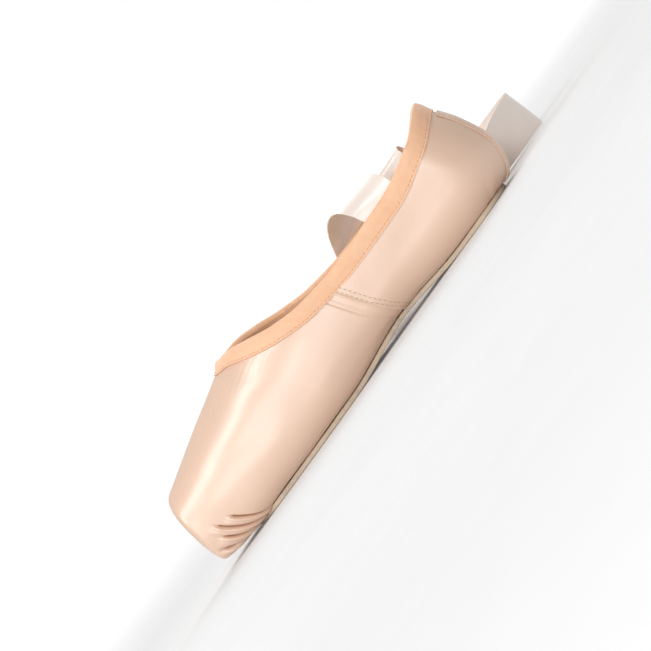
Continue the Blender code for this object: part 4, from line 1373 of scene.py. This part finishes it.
@cache
def soft_patches():
    """Slow changes of tone over a few centimetres, with finer ones inside them."""
    inputs = [("Place", None), ("Size", 20 * MM)]
    steps, given, put = effect_group("Soft patches", inputs, ["Tone"])
    scale = steps.math("DIVIDE", 1.0, given["Size"])
    tone = steps.noise(given["Place"], scale, detail=4.0)
    steps.set(put["Tone"], steps.ranged(tone, *PATCH_RANGE))
    return steps.tree


@cache
def leather_grain():
    """The fine cells of split leather, its fibres and its rubbed places."""
    inputs = [("Place", None), ("Cell", 0.7 * MM)]
    steps, given, put = effect_group("Leather grain", inputs, ["Height", "Tone", "Rubbed"])
    scale = steps.math("DIVIDE", 1.0, given["Cell"])
    cell_inputs = {"Vector": given["Place"], "Scale": scale}
    cells = steps.add("ShaderNodeTexVoronoi", cell_inputs, feature="SMOOTH_F1").outputs["Distance"]
    fibres = steps.noise(steps.stretched(given["Place"], FIBRE_RATE), detail=4.0)
    steps.set(put["Height"], steps.weighed((fibres, FIBRES_IN_RELIEF), (cells, CELLS_IN_RELIEF)))
    steps.set(put["Tone"], steps.ranged(fibres, *CLEAR_RANGE))
    rubbed = steps.noise(given["Place"], RUBBED_RATE, detail=5.0)
    steps.set(put["Rubbed"], steps.ranged(rubbed, *RUBBED_RANGE))
    return steps.tree


class Finish:
    """A new material with its shader, its surface and place coordinates, and its steps."""

    def __init__(self, name):
        self.material = bpy.data.materials.new(name)
        self.material.use_nodes = True
        self.steps = Steps(self.material.node_tree)
        self.shader = self.material.node_tree.nodes["Principled BSDF"].inputs
        self.surface = self.steps.add("ShaderNodeUVMap", uv_map="Surface").outputs["UV"]
        self.place = self.steps.add("ShaderNodeTexCoord").outputs["Object"]

    def value(self, name):
        """One of the piece's own values, such as how deep in a fold a point is."""
        return self.steps.add("ShaderNodeAttribute", attribute_name=name).outputs["Fac"]

    def bump(self, height, distance, strength):
        inputs = {"Height": height, "Distance": distance, "Strength": strength}
        self.steps.set(self.shader["Normal"], self.steps.add("ShaderNodeBump", inputs).outputs["Normal"])

    def set(self, **values):
        for key, value in values.items():
            self.steps.set(self.shader[key.replace("_", " ")], value)
        return self.material


def paint(colour):
    return (*colour, 1.0)


def grey(level):
    return (level, level, level, 1.0)


# How far each cause darkens satin towards its painted shade colour, with painted shade in its folds and low
# on its sides and real tone in its patches and streaks, and how cloth and leather mottle
SATIN_PAINTED_LOW_SHADE = 0.17
SATIN_TONE = 0.05
SATIN_PAINTED_FOLD_SHADE = 0.9
SATIN_STREAK = 0.06
SATIN_PATCH = 26 * MM
SATIN_RELIEF = 0.02 * MM
SATIN_ROUGHNESS = (0.32, 0.38)
CLOTH_MOTTLE = 0.35
CLOTH_PATCH = 14 * MM
CLOTH_ROUGHNESS = (0.62, 0.78)
LEATHER_RUB = 0.55
LEATHER_MOTTLE = 0.35
LEATHER_ROUGHNESS_SPAN = 0.14
THREAD_RELIEF = 0.03 * MM
THREAD_SHADE = 0.72


def satin_finish(name, colour, tone_and_painted_shade_colour, thread, sheen):
    """Glossy satin: bright where it faces a light, with painted shade that makes it warmer and darker down
    in its folds and low on its sides.
    """
    finish = Finish(name)
    steps = finish.steps
    threads = steps.effect(satin_threads(), Surface=finish.surface, Thread=thread)
    tone = steps.effect(soft_patches(), Place=finish.place, Size=SATIN_PATCH)["Tone"]
    # Painted shade deep in the folds and low on the sides, with real tone from patches and streaks, draws
    # the colour towards the shade colour
    depth = steps.weighed(
        (tone, SATIN_TONE),
        (finish.value("under"), SATIN_PAINTED_LOW_SHADE),
        (finish.value("fold"), SATIN_PAINTED_FOLD_SHADE),
        (threads["Streak"], SATIN_STREAK),
    )
    depth = steps.math("MINIMUM", depth, 1.0)
    finish.bump(threads["Height"], SATIN_RELIEF, strength=0.55)
    return finish.set(
        Base_Color=steps.blend(depth, paint(colour), paint(tone_and_painted_shade_colour)),
        Roughness=steps.ranged(tone, 0.0, 1.0, *SATIN_ROUGHNESS),
        Specular_IOR_Level=0.85,
        IOR=1.9,
        Sheen_Weight=sheen,
        Sheen_Roughness=0.4,
    )


def cloth_finish(name, colour, shade_colour, thread, relief):
    """Matt woven cotton."""
    finish = Finish(name)
    steps = finish.steps
    weave = steps.effect(plain_weave(), Surface=finish.surface, Thread=thread)
    tone = steps.effect(soft_patches(), Place=finish.place, Size=CLOTH_PATCH)["Tone"]
    depth = steps.weighed((tone, CLOTH_MOTTLE), (weave["Shade"], CLOTH_MOTTLE))
    finish.bump(weave["Height"], relief, strength=0.8)
    return finish.set(
        Base_Color=steps.blend(depth, paint(colour), paint(shade_colour)),
        Roughness=steps.ranged(weave["Shade"], 0.0, 1.0, *CLOTH_ROUGHNESS),
        Sheen_Weight=0.25,
        Sheen_Roughness=0.5,
    )


def leather_finish(name, colour, rubbed_colour, cell, relief, roughness):
    """Split leather, rubbed paler in places."""
    finish = Finish(name)
    steps = finish.steps
    grain = steps.effect(leather_grain(), Place=finish.place, Cell=cell)
    depth = steps.weighed((grain["Tone"], LEATHER_MOTTLE), (grain["Rubbed"], LEATHER_RUB))
    finish.bump(grain["Height"], relief, strength=0.7)
    return finish.set(
        Base_Color=steps.blend(depth, paint(colour), paint(rubbed_colour)),
        Roughness=steps.ranged(grain["Tone"], 0.0, 1.0, roughness, roughness + LEATHER_ROUGHNESS_SPAN),
    )


def thread_finish(name, colour):
    """Waxed sewing thread, twisted."""
    finish = Finish(name)
    steps = finish.steps
    strands = steps.noise(finish.place, TWIST_RATE, detail=2.0)
    finish.bump(strands, THREAD_RELIEF, strength=0.6)
    darker = tuple(THREAD_SHADE * part for part in colour)
    return finish.set(
        Base_Color=steps.blend(steps.ranged(strands, *TWIST_RANGE), paint(colour), paint(darker)),
        Roughness=0.45,
    )


@cache
def finish_of(kind):
    """The material of one kind of surface, made once."""
    colours = bpy.context.scene.pointe_colours
    sizes = bpy.context.scene.pointe_sizes
    # The colour of the painted shade in the satin's folds and low on its sides, which also gives its darker
    # tone
    fold = colours.satin_tone_and_painted_shade
    rubbed = colours.leather_rubbed
    makers = {
        "satin": lambda: satin_finish("satin", colours.satin, fold, thread=sizes.satin_thread, sheen=0.15),
        "satin_tape": lambda: satin_finish("satin_tape", colours.satin, fold, thread=0.4 * MM, sheen=0.15),
        "ribbon": lambda: satin_finish("ribbon_satin", colours.ribbon, fold, thread=0.3 * MM, sheen=0.1),
        "binding": lambda: cloth_finish(
            "binding_cotton", colours.binding, colours.binding_shade, thread=0.45 * MM, relief=0.05 * MM
        ),
        "lining": lambda: cloth_finish(
            "lining_cotton", colours.lining, colours.lining_shade, thread=0.6 * MM, relief=0.08 * MM
        ),
        "leather": lambda: leather_finish(
            "sole_leather", colours.leather, rubbed, cell=0.7 * MM, relief=0.10 * MM, roughness=0.62
        ),
        "leather_edge": lambda: leather_finish(
            "sole_edge", colours.leather_edge, rubbed, cell=0.4 * MM, relief=0.08 * MM, roughness=0.55
        ),
        "thread": lambda: thread_finish("sewing_thread", colours.thread),
        "binding_thread": lambda: thread_finish("binding_thread", colours.binding_shade),
    }
    return makers[kind]()


# The floor is just under the shoe, and glows more and more with its distance from the shoe
FLOOR_REACH = 40.0
FLOOR_DROP = 0.02 * MM
FLOOR_GREYS = (0.70, 0.74)
FLOOR_GRAIN_RATE = 30.0
FLOOR_GLOW = 0.80
FLOOR_GLOW_NEAR = 0.12
FLOOR_GLOW_REACH = (0.35, 2.5)


def make_floor():
    """A wide pale floor that pales with distance, so that it meets the backdrop unseen."""
    mesh = bpy.data.meshes.new("floor")
    turns = [(-1, -1), (1, -1), (1, 1), (-1, 1)]
    corners = [(x * FLOOR_REACH, y * FLOOR_REACH, -FLOOR_DROP) for x, y in turns]
    mesh.from_pydata(corners, [], [(0, 1, 2, 3)])
    finish = Finish("floor")
    steps = finish.steps
    grain = steps.noise(finish.place, FLOOR_GRAIN_RATE)
    seen = steps.add("ShaderNodeLightPath").outputs["Is Camera Ray"]
    away = steps.add("ShaderNodeVectorMath", {0: finish.place}, operation="LENGTH").outputs["Value"]
    pale = steps.math("MULTIPLY", seen, steps.ranged(away, *FLOOR_GLOW_REACH, FLOOR_GLOW_NEAR, 1.0))
    glow = steps.blend(pale, grey(0.0), grey(1.0))
    colour = steps.blend(grain, *[grey(level) for level in FLOOR_GREYS])
    finish.set(Base_Color=colour, Roughness=0.9, Specular_IOR_Level=0.1)
    finish.set(Emission_Color=glow, Emission_Strength=FLOOR_GLOW)
    mesh.materials.append(finish.material)
    placed("floor", mesh)


BACKDROP_WHITE = 1.0


def make_backdrop(daylight):
    """A pale backdrop round a dimmer studio, so that the lamps shape the satin."""
    world = bpy.data.worlds.new("studio")
    world.use_nodes = True
    steps = Steps(world.node_tree)
    seen = steps.add("ShaderNodeLightPath").outputs["Is Camera Ray"]
    background = world.node_tree.nodes["Background"]
    steps.set(background.inputs["Color"], steps.blend(seen, grey(daylight), grey(BACKDROP_WHITE)))
    bpy.context.scene.world = world


Lamp = namedtuple("Lamp", "name place aim length width power")
LAMPS = [
    # A long narrow window over the shoe: its reflection is the bright band down the box
    Lamp("strip_over_the_box", (0.46, -0.34, 0.62), (0.0, -0.02, 0.03), 1.40, 0.08, 3.7),
    # A wide window behind the camera, for the pale sheen of what faces it
    Lamp("front_window", (2.00, -0.55, 0.52), (0.0, -0.05, 0.03), 2.90, 0.80, 18.0),
    Lamp("back_fill", (-1.2, 0.35, 1.0), (0.0, 0.0, 0.03), 1.2, 1.2, 15.0),
]


def make_lamps():
    """Each lamp's long side runs along the shoe, square to its own aim."""
    for lamp in LAMPS:
        light = bpy.data.lights.new(lamp.name, "AREA")
        light.shape = "RECTANGLE"
        light.size = lamp.length
        light.size_y = lamp.width
        light.energy = lamp.power
        stand = placed(lamp.name, light)
        back = (Vector(lamp.place) - Vector(lamp.aim)).normalized()
        along = Vector((0.0, 1.0, 0.0))
        along = (along - back * along.dot(back)).normalized()
        across = back.cross(along)
        stand.matrix_world = Matrix((along, across, back)).transposed().to_4x4()
        stand.location = lamp.place


def direction(azimuth, elevation):
    """From the shoe towards the camera: azimuth 0 stands at the toe, 90 at the near side."""
    turn = math.radians(azimuth)
    rise = math.radians(elevation)
    return Vector((math.sin(turn) * math.cos(rise), -math.cos(turn) * math.cos(rise), math.sin(rise)))


# Where the camera stands, as in the photograph
SHOE_CENTRE = Vector((0.0, 0.0, 0.5 * INSTEP_HEIGHT))
CAMERA_AZIMUTH = 100
CAMERA_ELEVATION = 1.5
CAMERA_ROLL = 54.7
CAMERA_DISTANCE = 1.7
CAMERA_LENS = 205


def make_camera():
    """The photograph's angle to the shoe, rolled so that the toe points down, level with the floor."""
    camera = bpy.data.cameras.new("camera")
    camera.lens = CAMERA_LENS
    holder = placed("camera", camera)
    way = direction(CAMERA_AZIMUTH, CAMERA_ELEVATION)
    holder.location = SHOE_CENTRE + way * CAMERA_DISTANCE
    roll = Quaternion((0.0, 0.0, 1.0), -math.radians(CAMERA_ROLL))
    holder.rotation_mode = "QUATERNION"
    holder.rotation_quaternion = (-way).to_track_quat("-Z", "Y") @ roll
    bpy.context.scene.camera = holder
    bpy.context.scene.view_settings.view_transform = "Standard"


def length_property(name, description, default):
    return FloatProperty(name=name, description=description, default=default, unit="LENGTH")


def colour_property(name, description, default):
    return FloatVectorProperty(
        name=name, description=description, default=default, subtype="COLOR", size=3, min=0.0, max=1.0
    )


class PointeSizes(bpy.types.PropertyGroup):
    """Sizes of the dressing, and the studio's daylight."""

    pleat_depth: length_property("Pleat depth", "How deep the folds under the toe are", 2.7 * MM)
    satin_thread: length_property("Satin thread", "Distance between the satin's threads", 0.3 * MM)
    stitch_pitch: length_property("Stitch pitch", "Distance from one stitch to the next", 2.3 * MM)
    stitch_length: length_property("Stitch length", "Length of one stitch", 1.7 * MM)
    thread_width: length_property("Thread width", "Thickness of the sewing thread", 0.42 * MM)
    tread_pitch: length_property("Tread pitch", "Distance between the ribs under the ball", 1.9 * MM)
    tread_depth: length_property("Tread depth", "Height of the ribs under the ball", 0.3 * MM)
    ribbon_thickness: length_property("Ribbon thickness", "Thickness of the satin ribbon", 0.35 * MM)
    daylight: FloatProperty(
        name="Daylight", description="Brightness of the light from all round", default=0.42, min=0.0
    )


class PointeColours(bpy.types.PropertyGroup):
    """Colours of the shoe's cloth, leather and thread."""

    satin: colour_property("Satin", "The upper's satin", (0.84, 0.572, 0.413))
    # The colour of the painted shade deep in the satin's folds and low on its sides, also used for its
    # darker tone
    satin_tone_and_painted_shade: colour_property("Satin folds", "The satin deep in its folds", (0.34, 0.14, 0.06))
    binding: colour_property("Binding", "The tape round the collar", (0.93, 0.58, 0.37))
    binding_shade: colour_property("Binding shade", "The tape between its threads", (0.86, 0.47, 0.27))
    lining: colour_property("Lining", "The cotton inside", (0.88, 0.80, 0.70))
    lining_shade: colour_property("Lining shade", "The cotton between its threads", (0.78, 0.69, 0.58))
    leather: colour_property("Leather", "The outsole's face", (0.47, 0.35, 0.28))
    leather_rubbed: colour_property("Rubbed leather", "The outsole where it is rubbed", (0.58, 0.47, 0.39))
    leather_edge: colour_property("Leather edge", "The outsole's cut edge", (0.83, 0.68, 0.51))
    ribbon: colour_property("Ribbon", "The satin ribbons", (0.97, 0.85, 0.76))
    thread: colour_property("Thread", "The sewing thread", (0.66, 0.43, 0.29))


class POINTE_OT_upper(bpy.types.Operator):
    """Make the satin upper with its lining, pleats, creases and side seams"""

    bl_idname = "pointe.upper"
    bl_label = "Upper"

    def execute(self, context):
        make_upper(last_grid(), context.scene.pointe_sizes)
        return {"FINISHED"}


class POINTE_OT_binding(bpy.types.Operator):
    """Make the folded tape round the collar"""

    bl_idname = "pointe.binding"
    bl_label = "Binding"

    def execute(self, context):
        make_binding(last_grid())
        return {"FINISHED"}


class POINTE_OT_heel_tape(bpy.types.Operator):
    """Make the tape over the back seam"""

    bl_idname = "pointe.heel_tape"
    bl_label = "Heel tape"

    def execute(self, context):
        make_heel_strip()
        return {"FINISHED"}


class POINTE_OT_soles(bpy.types.Operator):
    """Make the leather outsole with its tread and the covered insole"""

    bl_idname = "pointe.soles"
    bl_label = "Soles"

    def execute(self, context):
        sizes = context.scene.pointe_sizes
        make_outsole(sizes)
        make_insole()
        make_tread(sizes)
        return {"FINISHED"}


class POINTE_OT_ribbons(bpy.types.Operator):
    """Make both satin ribbons, sewn in and laid down loose"""

    bl_idname = "pointe.ribbons"
    bl_label = "Ribbons"

    def execute(self, context):
        sizes = context.scene.pointe_sizes
        for name, node, route in RIBBONS:
            make_ribbon(name, node, route, sizes)
        return {"FINISHED"}


class POINTE_OT_stitches(bpy.types.Operator):
    """Sew the side seams, the binding, the heel tape and the ribbons"""

    bl_idname = "pointe.stitches"
    bl_label = "Stitches"

    def execute(self, context):
        sizes = context.scene.pointe_sizes
        grid = last_grid()
        sew("seam_stitches", side_seams(grid, upper_relief(grid, sizes.pleat_depth)), "thread", sizes)
        sew("binding_stitches", binding_seams(grid), "binding_thread", sizes)
        sew("heel_stitches", heel_seams(), "thread", sizes)
        for name, _, route in RIBBONS:
            sew(name + "_stitches", ribbon_seams(route, sizes), "thread", sizes)
        return {"FINISHED"}


class POINTE_OT_stage(bpy.types.Operator):
    """Set up the floor, the backdrop, the lamps and the camera"""

    bl_idname = "pointe.stage"
    bl_label = "Stage"

    def execute(self, context):
        make_floor()
        make_backdrop(context.scene.pointe_sizes.daylight)
        make_lamps()
        make_camera()
        return {"FINISHED"}


class POINTE_PT_panel(bpy.types.Panel):
    """The shoe's sizes, colours and pieces"""

    bl_label = "Pointe shoe"
    bl_idname = "POINTE_PT_panel"
    bl_space_type = "VIEW_3D"
    bl_region_type = "UI"
    bl_category = "Pointe shoe"

    def draw(self, context):
        column = self.layout.column()
        for operator in OPERATORS:
            column.operator(operator.bl_idname)
        for group in (context.scene.pointe_sizes, context.scene.pointe_colours):
            for key in group.__annotations__:
                column.prop(group, key)


OPERATORS = (
    POINTE_OT_stage,
    POINTE_OT_upper,
    POINTE_OT_binding,
    POINTE_OT_heel_tape,
    POINTE_OT_soles,
    POINTE_OT_ribbons,
    POINTE_OT_stitches,
)
CLASSES = (PointeSizes, PointeColours, *OPERATORS, POINTE_PT_panel)


def register():
    for each in CLASSES:
        bpy.utils.register_class(each)
    bpy.types.Scene.pointe_sizes = PointerProperty(type=PointeSizes)
    bpy.types.Scene.pointe_colours = PointerProperty(type=PointeColours)


def unregister():
    del bpy.types.Scene.pointe_colours
    del bpy.types.Scene.pointe_sizes
    for each in reversed(CLASSES):
        bpy.utils.unregister_class(each)


def main():
    register()
    bpy.ops.pointe.stage()
    bpy.ops.pointe.upper()
    bpy.ops.pointe.binding()
    bpy.ops.pointe.heel_tape()
    bpy.ops.pointe.soles()
    bpy.ops.pointe.ribbons()
    bpy.ops.pointe.stitches()


if __name__ == "__main__":
    main()
